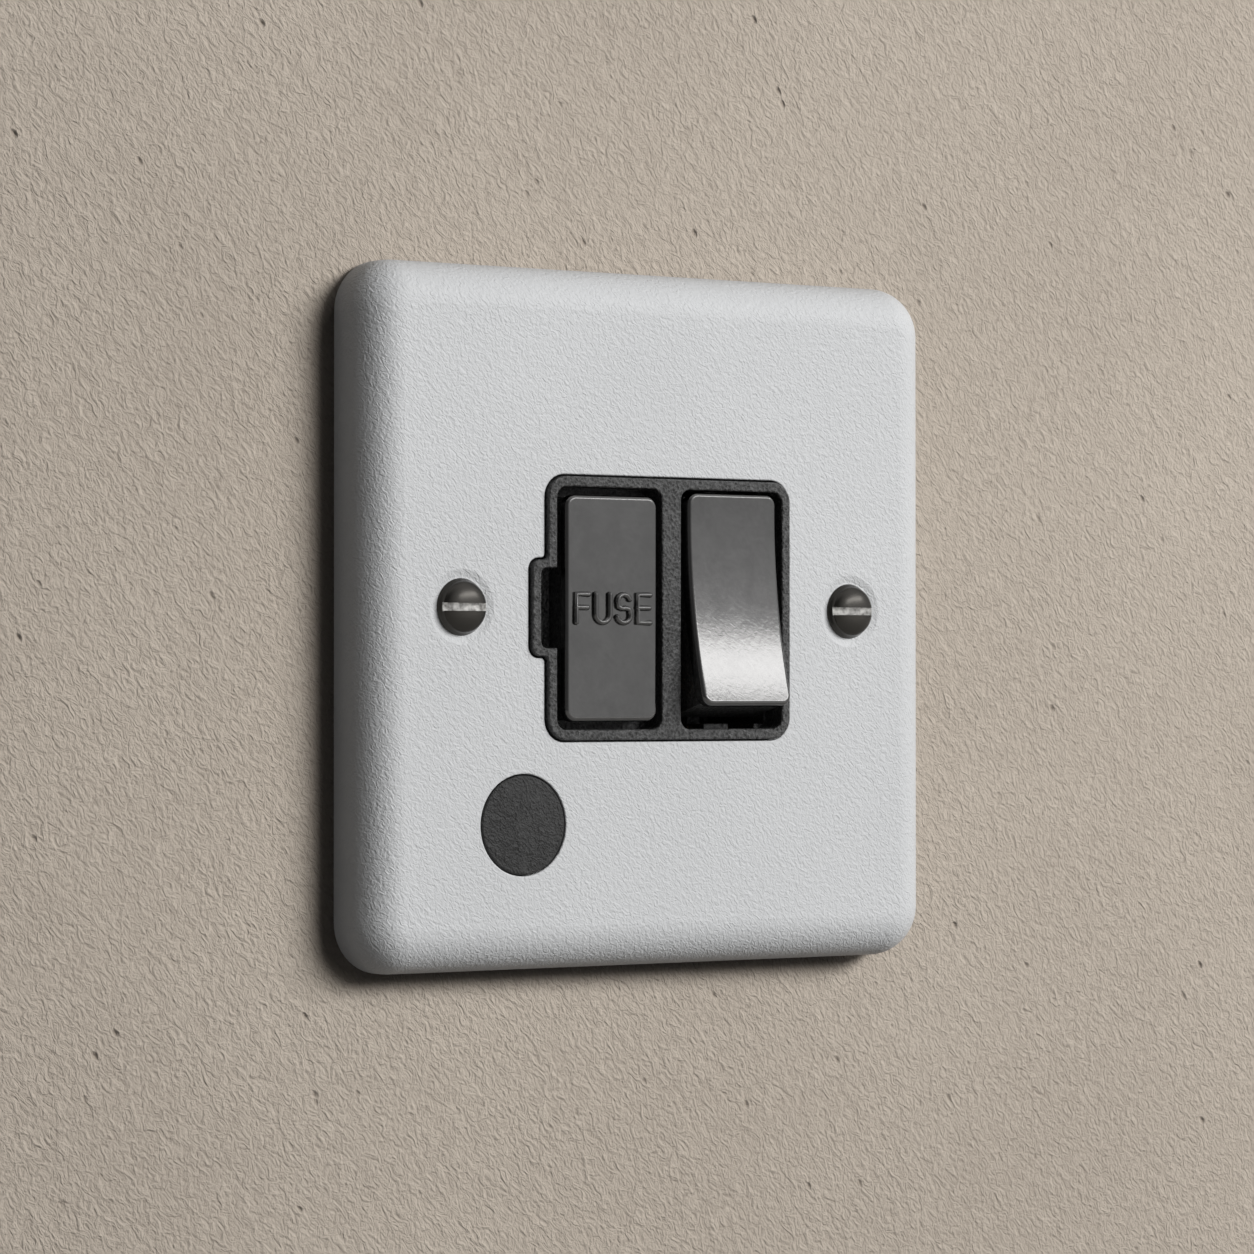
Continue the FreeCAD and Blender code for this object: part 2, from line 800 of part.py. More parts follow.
# Rear housing: one moulding with a bay or chamber for everything inside
def make_housing():
    body = new_body("rear_housing")
    pad(body, "XZ_Plane", housing_back, s.housing_depth, housing_outline())
    inside = flange_back - housing_inside
    saddle_low = grip_up - grip_height / 2
    saddle_high = step_up + s.grip_root
    saddle_middle = (saddle_low + saddle_high) / 2
    saddle = block(s.grip_across, saddle_middle, s.grip_width, saddle_high - saddle_low)
    pad(body, "XZ_Plane", saddle_top, flange_back - saddle_top, saddle)
    bay = block(fuse_across, Size.of(0), bay_width, bay_height)
    pocket(body, "XZ_Plane", flange_back, inside, bay)
    groove = block(fuse_across, Size.of(0), groove_width, groove_height)
    pocket(body, "XZ_Plane", shoulder_back, shoulder_back - housing_inside, groove)
    chamber = block(rocker_across, Size.of(0), chamber_width, chamber_height)
    pocket(body, "XZ_Plane", flange_back, flange_back - pole_front, chamber)
    for pole in (pole_live, pole_neutral):
        pole_space = block(pole, Size.of(0), pole_width, chamber_height)
        pocket(body, "XZ_Plane", pole_front, pole_front - housing_inside, pole_space)
    bearing = block(
        rocker_across,
        Size.of(0),
        bearing_reach * 2,
        s.pivot_width + s.running_clearance * 2,
    )
    pocket(body, "XZ_Plane", flange_back, flange_back + s.pivot_depth, bearing)
    pin_space = s.pivot_width + s.running_clearance * 2
    pin_axis = [(s.pivot_depth, Size.of(0))]
    bore_all(body, "YZ_Plane", rocker_across + bearing_reach, pin_axis, pin_space, bearing_reach * 2)
    rib_width = s.pole_pitch - pole_width
    for side in (-1, 1):
        stop = block(rocker_across, side * shoulder_half, rib_width, s.housing_wall)
        pad(body, "XZ_Plane", pole_front, stop_level - pole_front, stop)
    strip_space = s.strip_width + s.fit_clearance * 2
    strip_cut = flange_back - terminal_front + s.running_clearance
    for side in (1, -1):
        middle = side * terminal_up
        for pole in (pole_live, pole_neutral):
            space = block(pole, middle, terminal_space, terminal_space)
            pocket(body, "XZ_Plane", flange_back, inside, space)
            wall = side * (terminal_low - s.divider_wall / 2)
            slot = block(pole, wall, strip_space, s.divider_wall)
            pocket(body, "XZ_Plane", flange_back, strip_cut, slot)
    earth_space = s.earth_width + s.fit_clearance * 2
    space = block(earth_across, terminal_up, earth_space, terminal_space)
    pocket(body, "XZ_Plane", flange_back, inside, space)
    for side in (1, -1):
        tail_left = fuse_across + bay_width / 2
        tail_right = pole_live - pole_width / 2
        middle = (tail_left + tail_right) / 2
        tail = block(
            middle, side * clip_middle, tail_right - tail_left, s.clip_height + s.fit_clearance * 2
        )
        pocket(body, "XZ_Plane", flange_back, strip_cut, tail)
        seat = block(fuse_across, side * clip_middle, clip_inner, s.clip_height)
        pad(body, "XZ_Plane", housing_inside, s.terminal_length, seat)
    for pole in (pole_live, pole_neutral):
        seat = block(pole, Size.of(0), s.strip_width, s.bracket_height)
        pad(body, "XZ_Plane", housing_inside, -bracket_back - housing_inside, seat)
        seat = block(pole, s.lever_arm, s.strip_width, s.button_seat)
        pad(body, "XZ_Plane", housing_inside, -fixed_strip_back - housing_inside, seat)
    access = s.terminal_head + s.access_play * 2
    floor = housing_inside
    bore_all(body, "XZ_Plane", floor, terminal_places(), access, s.housing_floor)
    entry = s.wire_hole + s.entry_play * 2
    entries = [(across, -wire_depth) for across, up in terminal_places() if up.value > 0]
    bore_all(body, "XY_Plane", housing_top, entries, entry, s.housing_wall)
    entries = [(across, -wire_depth) for across, up in terminal_places() if up.value < 0]
    bore_all(body, "XY_Plane", -terminal_high, entries, entry, s.housing_wall)
    through = s.assembly_thread + s.assembly_play * 2
    bore_all(body, "XZ_Plane", flange_back, assembly_places(), through, s.housing_depth)
    sink = s.assembly_head + s.entry_play * 2
    bore_all(body, "XZ_Plane", assembly_seat, assembly_places(), sink, s.assembly_sink)
    cord = [(s.grip_axis, grip_up)]
    right = s.grip_across + s.grip_width
    bore_all(body, "YZ_Plane", right, cord, s.cord_width, s.grip_width * 2)
    pilot = s.assembly_thread + s.running_clearance * 2
    saddle_depth = flange_back - saddle_top
    bore_all(body, "XZ_Plane", flange_back, grip_places(), pilot, saddle_depth)
    return body


# Plug that blanks the flex outlet: a flush disc with a flange behind the faceplate
def make_outlet_plug():
    body = new_body("outlet_plug")
    place = (s.outlet_across, -outlet_below)
    flange_start = plate_inside - s.plug_flange
    flange_width = s.plug_width + s.plug_gap * 2 + s.plug_lap * 2
    peg(body, "XZ_Plane", flange_start, *place, flange_width, s.plug_flange)
    disc = peg(body, "XZ_Plane", flange_start, *place, s.plug_width, s.plug_flange + s.plate_gauge)
    fillet(body, disc, edges_at_level(disc, s.plate_depth.value), s.plug_edge)
    hollow = s.plug_width - s.plug_wall * 2
    hollow_depth = s.plug_flange + s.plate_gauge - s.plug_wall
    drill(body, "XZ_Plane", flange_start, *place, hollow, hollow_depth)
    return body


# Fuse drawer: metal face, moulded carrier and the cartridge fuse that it holds
def make_drawer_face():
    body = new_body("fuse_drawer_face")
    corners = block(fuse_across, Size.of(0), drawer_width, drawer_height, s.drawer_corner)
    face = pad(body, "XZ_Plane", drawer_front - s.drawer_face, s.drawer_face, corners)
    fillet(body, face, edges_at_level(face, drawer_front.value), s.drawer_edge)
    return body


def make_fuse_carrier():
    body = new_body("fuse_carrier")
    zero = Size.of(0)
    front = drawer_front - s.drawer_face
    solid = block(fuse_across, zero, carrier_width, carrier_height, s.drawer_corner)
    pad(body, "XZ_Plane", carrier_back, front - carrier_back, solid)
    jaw_back = -(s.fuse_depth + s.jaw_wrap)
    jaw_width = barrel_width + (s.running_clearance + s.jaw_wall) * 2
    jaw = block(fuse_across, zero, jaw_width, s.jaw_height)
    pad(body, "XZ_Plane", jaw_back, carrier_back - jaw_back, jaw)
    for side in (-1, 1):
        arm_across = fuse_across + side * (carrier_width - s.arm_gauge) / 2
        arm = block(arm_across, zero, s.arm_gauge, s.arm_height)
        pad(body, "XZ_Plane", arm_back, carrier_back - arm_back, arm)
        hook_across = fuse_across + side * (carrier_width + s.hook_reach) / 2
        hook = block(hook_across, zero, s.hook_reach, s.arm_height)
        pad(body, "XZ_Plane", arm_back, s.hook_length, hook)
        well_low = s.jaw_height / 2 + s.carrier_wall
        well_high = carrier_height / 2 - s.carrier_wall
        well = block(
            fuse_across,
            side * (well_low + well_high) / 2,
            carrier_width - s.carrier_wall * 2,
            well_high - well_low,
        )
        well_depth = front - carrier_back - s.carrier_wall
        pocket(body, "XZ_Plane", carrier_back, well_depth, well, towards_front=True)
    drill(
        body,
        "XY_Plane",
        -s.jaw_height,
        fuse_across,
        s.fuse_depth,
        barrel_width + s.running_clearance * 2,
        s.jaw_height * 2,
    )
    return body


def fuse_tube(label, width, length, low):
    tube = document.addObject("Part::Cylinder", "FuseTube")
    tube.Label = label
    bind(tube, "Radius", width / 2)
    bind(tube, "Height", length)
    bind(tube, "Placement.Base.x", fuse_across)
    bind(tube, "Placement.Base.y", s.fuse_depth)
    bind(tube, "Placement.Base.z", low)
    return tube


def make_fuse():
    gauge = s.fuse_cap_gauge
    half = fuse_length / 2
    barrel = fuse_tube("fuse_barrel", barrel_width, fuse_length - gauge * 2, gauge - half)
    caps = []
    for name, low in (("upper", half - s.fuse_cap_length), ("lower", -half)):
        outer = fuse_tube("CapOutside", s.fuse_width, s.fuse_cap_length, low)
        inner_low = low if name == "upper" else low + gauge
        inner = fuse_tube("CapInside", barrel_width, s.fuse_cap_length - gauge, inner_low)
        cap = document.addObject("Part::Cut", "FuseCap")
        cap.Base = outer
        cap.Tool = inner
        cap.Label = f"fuse_end_cap_{name}"
        caps.append(cap)
    return [barrel] + caps


# Fuse clips: sprung U shapes on flat strips that lead to the switch and to the load terminal
def clip_profile():
    inner, outer = clip_inner / 2, clip_outer / 2
    base_front = -terminal_front - s.strip_gauge
    return [
        (fuse_across - outer, -terminal_front, s.strip_bend + s.strip_gauge),
        (fuse_across + outer, -terminal_front, None),
        (fuse_across + outer, -clip_front, None),
        (fuse_across + inner, -clip_front, None),
        (fuse_across + inner, base_front, s.strip_bend),
        (fuse_across - inner, base_front, s.strip_bend),
        (fuse_across - inner, -clip_front, None),
        (fuse_across - outer, -clip_front, None),
    ]


def make_fuse_clips():
    tail_start = fuse_across + clip_outer / 2 - s.strip_gauge / 2
    upper = new_body("fuse_clip_upper")
    low = clip_middle - s.clip_height / 2
    pad(upper, "XY_Plane", low, s.clip_height, clip_profile())
    cheek_edge = pole_live - s.strip_width / 2 - s.fit_clearance * 2
    tail = rectangle(tail_start, cheek_edge, low, low + s.clip_height)
    pad(upper, "XZ_Plane", terminal_front, s.strip_gauge, tail)
    lower = new_body("fuse_clip_lower")
    low = -clip_middle - s.clip_height / 2
    pad(lower, "XY_Plane", low, s.clip_height, clip_profile())
    left, right = pole_live - s.strip_width / 2, pole_live + s.strip_width / 2
    tail = [
        (tail_start, low, None),
        (left, low, s.strip_bend),
        (left, -strip_end, None),
        (right, -strip_end, None),
        (right, low + s.clip_height, s.strip_bend),
        (tail_start, low + s.clip_height, None),
    ]
    pad(lower, "XZ_Plane", terminal_front, s.strip_gauge, tail)
    return [upper, lower]


# Terminals: brass blocks with a wire hole along Z and a clamping screw from the back
def terminal_block(label, across, up, width, screws):
    body = new_body(label)
    corners = block(across, up, width, s.terminal_width, s.strip_bend)
    pad(body, "XZ_Plane", housing_inside, s.terminal_length, corners)
    for place in screws:
        low = up - s.terminal_width
        drill(body, "XY_Plane", low, place, -wire_depth, s.wire_hole, s.terminal_width * 2)
        tapped = s.terminal_thread + s.running_clearance * 2
        drill(body, "XZ_Plane", housing_inside, place, up, tapped, wire_depth - housing_inside)
    return body


def make_terminals():
    blocks = []
    for pole_name, pole in (("live", pole_live), ("neutral", pole_neutral)):
        for row_name, up in (("supply", terminal_up), ("load", -terminal_up)):
            label = f"{row_name}_terminal_{pole_name}"
            blocks.append(terminal_block(label, pole, up, s.terminal_width, [pole]))
    shift = s.earth_width / 4
    places = [earth_across - shift, earth_across + shift]
    blocks.append(terminal_block("earth_terminal", earth_across, terminal_up, s.earth_width, places))
    return blocks


def grouped(label, pieces):
    group = document.addObject("Part::Compound", "Group")
    group.Links = pieces
    group.Label = label
    return group


def make_terminal_screws():
    pieces = []
    for across, up in terminal_places():
        reach = screw_tip - housing_inside
        screw = slotted_screw(
            "TerminalScrew",
            s.terminal_head,
            s.terminal_thread,
            reach,
            s.terminal_head_height,
            s.slot_width,
            s.terminal_head_height / 2,
        )
        stand(screw, across, housing_inside, up, quarter_turns=3)
        pieces.append(screw)
    return grouped("terminal_screws", pieces)


def make_earth_strap():
    """A folded strip from the earth terminal to the back of the metal faceplate."""
    body = new_body("earth_strap")
    gauge = s.strip_gauge
    high = terminal_high - s.fit_clearance
    low = terminal_low + gauge * 3
    corners = [
        (-plate_inside, low, None),
        (-plate_inside, high, s.strip_bend + gauge),
        (-terminal_front, high, s.strip_bend + gauge),
        (-terminal_front, low, None),
        (-terminal_front - gauge, low, None),
        (-terminal_front - gauge, high - gauge, s.strip_bend),
        (gauge - plate_inside, high - gauge, s.strip_bend),
        (gauge - plate_inside, low, None),
    ]
    left = earth_across - s.strap_width / 2
    pad(body, "YZ_Plane", left, s.strap_width, corners)
    return body


# Screws that hold the three mouldings and the faceplate together
def make_housing_screws():
    pieces = []
    for across, up in assembly_places():
        screw = slotted_screw(
            "HousingScrew",
            s.assembly_head,
            s.assembly_thread,
            assembly_tip - assembly_seat,
            s.assembly_head_height,
            s.slot_width,
            s.assembly_slot,
        )
        stand(screw, across, assembly_seat, up, quarter_turns=3)
        pieces.append(screw)
    return grouped("housing_screws", pieces)


# Cord grip: a bar over the saddle of the housing, with two screws
def make_cord_grip():
    bar = new_body("cord_grip_bar")
    corners = block(s.grip_across, grip_up, s.grip_width, grip_height, s.strip_bend)
    pad(bar, "XZ_Plane", grip_back, grip_base - grip_back, corners)
    right = s.grip_across + s.grip_width
    cord = [(s.grip_axis, grip_up)]
    bore_all(bar, "YZ_Plane", right, cord, s.cord_width, s.grip_width * 2)
    hole = s.assembly_thread + s.fit_clearance * 2
    bore_all(bar, "XZ_Plane", grip_base, grip_places(), hole, grip_base - grip_back)
    pieces = []
    for across, up in grip_places():
        screw = slotted_screw(
            "GripScrew",
            s.grip_end * 2 - s.fit_clearance * 2,
            s.assembly_thread,
            grip_base - grip_back + s.cord_width / 2,
            s.grip_head_height,
            s.grip_slot_width,
            s.grip_slot_depth,
        )
        stand(screw, across, grip_back, up, quarter_turns=3)
        pieces.append(screw)
    return [bar, grouped("cord_grip_screws", pieces)]


# Rocker: drawn level about its pivot, then tipped to its resting end
def tip(item, across, depth, angle):
    item.Placement = FreeCAD.Placement(
        FreeCAD.Vector(0, 0, 0), FreeCAD.Rotation(FreeCAD.Vector(1, 0, 0), angle.value)
    )
    bind(item, "Placement.Rotation.Angle", angle)
    bind(item, "Placement.Base.x", across)
    bind(item, "Placement.Base.y", depth)


def bow_edges(plate, wanted):
    """Edges of the bowed plate whose distances from the bow's axis fit the rule."""
    names = []
    for number, edge in enumerate(plate.Shape.Edges, 1):
        radii = [math.hypot(p.y + face_centre.value, p.z) for p in edge.discretize(3)]
        if wanted(radii):
            names.append(f"Edge{number}")
    return names


def make_rocker_cap():
    body = new_body("rocker_cap")
    sketch = body.newObject("Sketcher::SketchObject", "Bow")
    attach(sketch, body, "YZ_Plane", 0)
    middle = FreeCAD.Vector(-face_centre.value, 0, 0)
    spread = math.asin(half_chord.value / face_radius.value)
    normal = FreeCAD.Vector(0, 0, 1)
    arcs = [
        Part.ArcOfCircle(Part.Circle(middle, normal, radius.value), -spread, spread)
        for radius in (face_radius, skin_radius)
    ]
    ends = [
        Part.LineSegment(arcs[0].StartPoint, arcs[1].StartPoint),
        Part.LineSegment(arcs[0].EndPoint, arcs[1].EndPoint),
    ]
    sketch.addGeometry(arcs + ends, False)
    sketch.addConstraint(
        [
            Sketcher.Constraint("Coincident", 0, 3, 1, 3),
            Sketcher.Constraint("Coincident", 0, 1, 2, 1),
            Sketcher.Constraint("Coincident", 1, 1, 2, 2),
            Sketcher.Constraint("Coincident", 0, 2, 3, 1),
            Sketcher.Constraint("Coincident", 1, 2, 3, 2),
            Sketcher.Constraint("PointOnObject", 0, 3, -1),
            Sketcher.Constraint("DistanceX", -1, 1, 0, 3, -face_centre.value),
            Sketcher.Constraint("Radius", 0, face_radius.value),
            Sketcher.Constraint("Radius", 1, skin_radius.value),
            Sketcher.Constraint("DistanceY", -1, 1, 0, 1, -half_chord.value),
            Sketcher.Constraint("DistanceY", -1, 1, 0, 2, half_chord.value),
            Sketcher.Constraint("DistanceY", -1, 1, 1, 1, arcs[1].StartPoint.y),
            Sketcher.Constraint("DistanceY", -1, 1, 1, 2, arcs[1].EndPoint.y),
        ]
    )
    bind(sketch, "Constraints[6]", -face_centre)
    bind(sketch, "Constraints[7]", face_radius)
    bind(sketch, "Constraints[8]", skin_radius)
    bind(sketch, "Constraints[9]", -half_chord)
    bind(sketch, "Constraints[10]", half_chord)
    bind(sketch, "Constraints[11]", -half_chord * skin_radius / face_radius)
    bind(sketch, "Constraints[12]", half_chord * skin_radius / face_radius)
    plate = body.newObject("PartDesign::Pad", "Pad")
    plate.Profile = sketch
    plate.Midplane = True
    bind(plate, "Length", rocker_width)
    document.recompute()
    corners = bow_edges(plate, lambda radii: max(radii) - min(radii) > s.rocker_skin.value / 2)
    plate = fillet(body, plate, corners, s.rocker_corner)
    front = bow_edges(plate, lambda radii: max(radii) < face_radius.value + ON_FACE)
    fillet(body, plate, front, s.rocker_edge)
    tip(body, rocker_across, s.pivot_depth, -half_swing)
    return body


def make_rocker_body():
    body = new_body("rocker_body")
    zero = Size.of(0)
    hub = s.pivot_width / 2 + s.carrier_wall
    half = rocker_body_half
    under = s.rocker_shoulder / 2
    right_side = [
        (-s.rocker_face, half, None),
        (-s.rocker_shoulder, shoulder_half, s.rocker_edge),
        (-under, s.hub_half, None),
        (hub, hub, s.rocker_inset),
    ]
    left_side = [(a, -u, r) for a, u, r in reversed(right_side)]
    pad(body, "YZ_Plane", 0, rocker_body_width, right_side + left_side, midplane=True)
    under_cap = (skin_radius + s.running_clearance) * 2
    drill(body, "YZ_Plane", -rocker_width, -face_centre, zero, under_cap, rocker_width * 2)
    for side in (-1, 1):
        well_low = s.hub_half + s.carrier_wall
        well_high = shoulder_half - s.carrier_wall
        well = block(
            zero,
            side * (well_low + well_high) / 2,
            rocker_body_width - s.carrier_wall * 2,
            well_high - well_low,
        )
        well_top = s.rocker_face - s.rocker_hollow - s.rocker_skin - s.carrier_wall
        pocket(body, "XZ_Plane", zero, well_top, well, towards_front=True)
    half_pin = bearing_reach - s.fit_clearance * 2
    peg(body, "YZ_Plane", -half_pin, zero, zero, s.pivot_width, half_pin * 2)
    bore = s.plunger_width + s.fit_clearance * 2
    tube = bore + s.tube_wall * 2
    tube_end = s.plunger_reach - s.plunger_guide
    bore_depth = tube_end + s.rocker_face / 2
    for side in (-1, 1):
        across = side * s.pole_pitch / 2
        peg(body, "XZ_Plane", -tube_end, across, zero, tube, tube_end)
        drill(body, "XZ_Plane", -tube_end, across, zero, bore, bore_depth)
    tip(body, rocker_across, s.pivot_depth, -half_swing)
    return body


def make_plunger(label, side):
    body = new_body(label)
    zero = Size.of(0)
    across = side * s.pole_pitch / 2
    peg(body, "XZ_Plane", -s.plunger_reach, across, zero, s.plunger_width, s.plunger_guide * 2)
    solid_round(
        body, "AdditiveSphere", "XZ_Plane", -s.plunger_reach, across, zero, Radius=nose_radius
    )
    tip(body, rocker_across, s.pivot_depth, -half_swing)
    return body


def make_plunger_spring(label, side):
    """A compression spring between the closed end of its tube and the foot of the plunger."""
    start = s.plunger_reach - s.plunger_guide * 2
    length = s.rocker_face / 2 + start - s.spring_wire - s.fit_clearance * 2
    coil = document.addObject("Part::Helix", "Coil")
    bind(coil, "Radius", nose_radius - s.spring_wire / 2)
    bind(coil, "Height", length)
    bind(coil, "Pitch", length / s.spring_turns)
    wire = document.addObject("Part::RegularPolygon", "Wire")
    wire.Polygon = int(s.wire_sides.value)
    bind(wire, "Circumradius", s.spring_wire / 2)
    wire.Placement.Rotation = FreeCAD.Rotation(FreeCAD.Vector(1, 0, 0), 90)
    bind(wire, "Placement.Base.x", nose_radius - s.spring_wire / 2)
    spring = document.addObject("Part::Sweep", "Spring")
    spring.Sections = [wire]
    spring.Spine = (coil, ["Edge1"])
    spring.Solid = True
    spring.Frenet = True
    spring.Label = label
    document.recompute()
    bottom = start - s.spring_wire / 2 - s.fit_clearance
    across = rocker_across + side * s.pole_pitch / 2
    turn = FreeCAD.Rotation(FreeCAD.Vector(1, 0, 0), 90 - half_swing.value)
    spring.Placement.Rotation = turn
    bind(spring, "Placement.Base.x", across)
    bind(spring, "Placement.Base.y", s.pivot_depth + bottom * cosine(half_swing))
    bind(spring, "Placement.Base.z", -bottom * sine(half_swing))
    return spring


# Moving contacts: see-saw strips whose saddles follow the plungers
def lever_profile():
    """The strip's side view about its pivot, level, with the room towards negative values."""
    slope = s.lever_slope
    rise = sine(slope) / cosine(slope)
    gauge = s.lever_gauge
    front_dip = saddle_centre - saddle_radius / cosine(slope)
    back_dip = saddle_centre - (saddle_radius + gauge) / cosine(slope)
    front_bend = (s.lever_lift - front_dip) / rise
    back_bend = (s.lever_lift - gauge - back_dip) / rise
    toe = s.lever_arm + s.button_width / 2
    front, back = -s.lever_lift, gauge - s.lever_lift
    return [
        (front, -s.lever_heel, None),
        (front, -front_bend, s.strip_bend + gauge),
        (-front_dip, Size.of(0), saddle_radius),
        (front, front_bend, s.strip_bend + gauge),
        (front, toe, None),
        (back, toe, None),
        (back, back_bend, s.strip_bend),
        (-back_dip, Size.of(0), saddle_radius + gauge),
        (back, -back_bend, s.strip_bend),
        (back, -s.lever_heel, None),
    ]


def make_moving_contact(label, pole):
    body = new_body(label)
    zero = Size.of(0)
    pad(body, "YZ_Plane", 0, s.strip_width, lever_profile(), midplane=True)
    half_pin = s.strip_width / 2 + s.fit_clearance * 2 + s.cheek_gauge
    peg(body, "YZ_Plane", -half_pin, zero, zero, s.trunnion_width, half_pin * 2)
    back = s.lever_lift - s.lever_gauge
    start = back - s.button_height
    peg(body, "XZ_Plane", start, zero, s.lever_arm, s.button_width, s.button_height)
    tip(body, pole, lever_depth, lever_tilt)
    return body


def make_fixed_contact(label, pole):
    body = new_body(label)
    near = s.lever_arm - s.button_seat / 2
    corners = strip_profile(near, strip_turn, strip_end, fixed_strip_back, -terminal_front)
    pad(body, "YZ_Plane", pole - s.strip_width / 2, s.strip_width, corners)
    level = s.strip_gauge - fixed_strip_back
    peg(body, "XZ_Plane", level, pole, s.lever_arm, s.button_width, s.button_height)
    return body


def make_contact_bracket(label, pole):
    """A U of sheet brass whose cheeks carry the see-saw's trunnions."""
    body = new_body(label)
    inner = s.strip_width / 2 + s.fit_clearance
    outer = inner + s.cheek_gauge
    front = lever_depth - s.cheek_lip
    base = bracket_back - s.strip_gauge
    corners = [
        (pole - outer, bracket_back, None),
        (pole + outer, bracket_back, None),
        (pole + outer, front, None),
        (pole + inner, front, None),
        (pole + inner, base, None),
        (pole - inner, base, None),
        (pole - inner, front, None),
        (pole - outer, front, None),
    ]
    half = s.bracket_height / 2
    pad(body, "XY_Plane", -half, s.bracket_height, corners)
    if label.endswith("live"):
        link = rectangle(
            -terminal_front,
            front + s.strip_gauge * 2,
            half - s.strip_gauge,
            clip_middle + s.clip_height / 2,
        )
        pad(body, "YZ_Plane", pole - outer, s.cheek_gauge, link)
    else:
        corners = strip_profile(half, strip_turn, strip_end, bracket_back, -terminal_front)
        left = pole - s.strip_width / 2
        pad(body, "YZ_Plane", left, s.strip_width, mirrored_up(corners))
    hole = s.trunnion_width + s.running_clearance * 2
    drill(body, "YZ_Plane", pole - outer * 2, lever_depth, Size.of(0), hole, outer * 4)
    return body


nodes = [make_faceplate()]
nodes += make_fixing_screws()
nodes += [make_insert(), make_housing(), make_outlet_plug()]
nodes += [make_drawer_face(), make_fuse_carrier()]
nodes += make_fuse()
nodes += make_fuse_clips()
nodes += make_terminals()
nodes += [make_terminal_screws(), make_earth_strap(), make_housing_screws()]
nodes += make_cord_grip()
nodes += [make_rocker_cap(), make_rocker_body()]
for name, side, pole in (("live", -1, pole_live), ("neutral", 1, pole_neutral)):
    nodes.append(make_plunger(f"plunger_{name}", side))
    nodes.append(make_plunger_spring(f"plunger_spring_{name}", side))
    nodes.append(make_moving_contact(f"moving_contact_{name}", pole))
    nodes.append(make_fixed_contact(f"fixed_contact_{name}", pole))
    nodes.append(make_contact_bracket(f"contact_bracket_{name}", pole))

document.recompute()
for item in document.Objects:
    if {"Invalid", "Error"} & set(item.State):
        raise RuntimeError(f"{item.Label} failed: {item.State}")
os.makedirs("parts", exist_ok=True)
for node in nodes:
    if node.Shape.isNull() or not node.Shape.isValid():
        raise RuntimeError(f"{node.Label} has no valid shape")
    node.Shape.exportStep(f"parts/{node.Label}.step")
    print(f"{node.Label}: {len(node.Shape.Solids)} solid, {node.Shape.Volume:.1f} mm3")
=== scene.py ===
# %% [markdown]
# # A fused spur unit
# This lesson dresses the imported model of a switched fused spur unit, as it hangs on a wall.
# The model carries the true shapes and sizes. The lesson adds the finishes, the screws'
# threads, the raised word on the drawer, the lamps, the wall and the camera.
# Every length is in metres, and the wall is the plane Y = 0 with the room on its -Y side.

import json
import math

import bmesh
import bpy
from mathutils import Matrix, Vector


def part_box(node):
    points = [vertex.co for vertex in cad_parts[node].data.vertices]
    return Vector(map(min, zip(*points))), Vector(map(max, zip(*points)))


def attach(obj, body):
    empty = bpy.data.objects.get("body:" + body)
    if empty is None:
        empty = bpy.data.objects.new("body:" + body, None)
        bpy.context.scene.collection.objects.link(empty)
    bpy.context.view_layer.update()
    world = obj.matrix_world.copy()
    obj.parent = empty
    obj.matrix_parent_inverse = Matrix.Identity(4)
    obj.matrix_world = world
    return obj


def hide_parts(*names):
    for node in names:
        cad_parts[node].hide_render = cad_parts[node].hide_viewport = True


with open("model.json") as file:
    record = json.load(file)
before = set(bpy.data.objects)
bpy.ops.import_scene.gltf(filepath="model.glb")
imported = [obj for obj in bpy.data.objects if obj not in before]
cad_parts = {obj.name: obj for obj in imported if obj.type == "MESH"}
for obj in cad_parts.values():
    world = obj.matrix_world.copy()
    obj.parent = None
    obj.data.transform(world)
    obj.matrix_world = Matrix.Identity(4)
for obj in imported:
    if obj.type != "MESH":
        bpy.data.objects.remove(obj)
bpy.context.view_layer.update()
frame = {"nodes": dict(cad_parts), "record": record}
scene = bpy.context.scene
MM = 0.001
for plain in list(bpy.data.materials):
    bpy.data.materials.remove(plain)

# %% [markdown]
# ## Camera
# The photograph looks at the plate from the left, a little from below, through a long lens.
# The lens, place and turn come from matching the plate's corners and screws. A direction
# can be made a turn by itself, so the camera needs no empty to look at.

# %% Place the camera
LENS = 134.54
AZIMUTH, ELEVATION = math.radians(-35.11), math.radians(-0.735)
DISTANCE = 0.5999
TARGET = Vector((-0.000076, 0.0, -0.00217))

towards_camera = Vector(
    (
        math.sin(AZIMUTH) * math.cos(ELEVATION),
        -math.cos(AZIMUTH) * math.cos(ELEVATION),
        math.sin(ELEVATION),
    )
)
camera_data = bpy.data.cameras.new("camera")
camera_data.sensor_width = 36.0
camera_data.lens = LENS
camera_data.clip_start = 0.01
camera_data.clip_end = 20.0
camera = bpy.data.objects.new("camera", camera_data)
camera.location = TARGET + towards_camera * DISTANCE
camera.rotation_euler = (-towards_camera).to_track_quat("-Z", "Y").to_euler()
scene.collection.objects.link(camera)
scene.camera = camera
print("camera at", tuple(round(v, 3) for v in camera.location))

# %% [markdown]
# ## Shader maths
# A finish is easier to read as sums than as a web of nodes. The class below wraps a socket,
# so that `grain * 0.2 + 0.4` adds the Math nodes. Colours and vectors never go through Math
# nodes, which would turn them grey, so they use the Mix and Vector Math nodes instead.


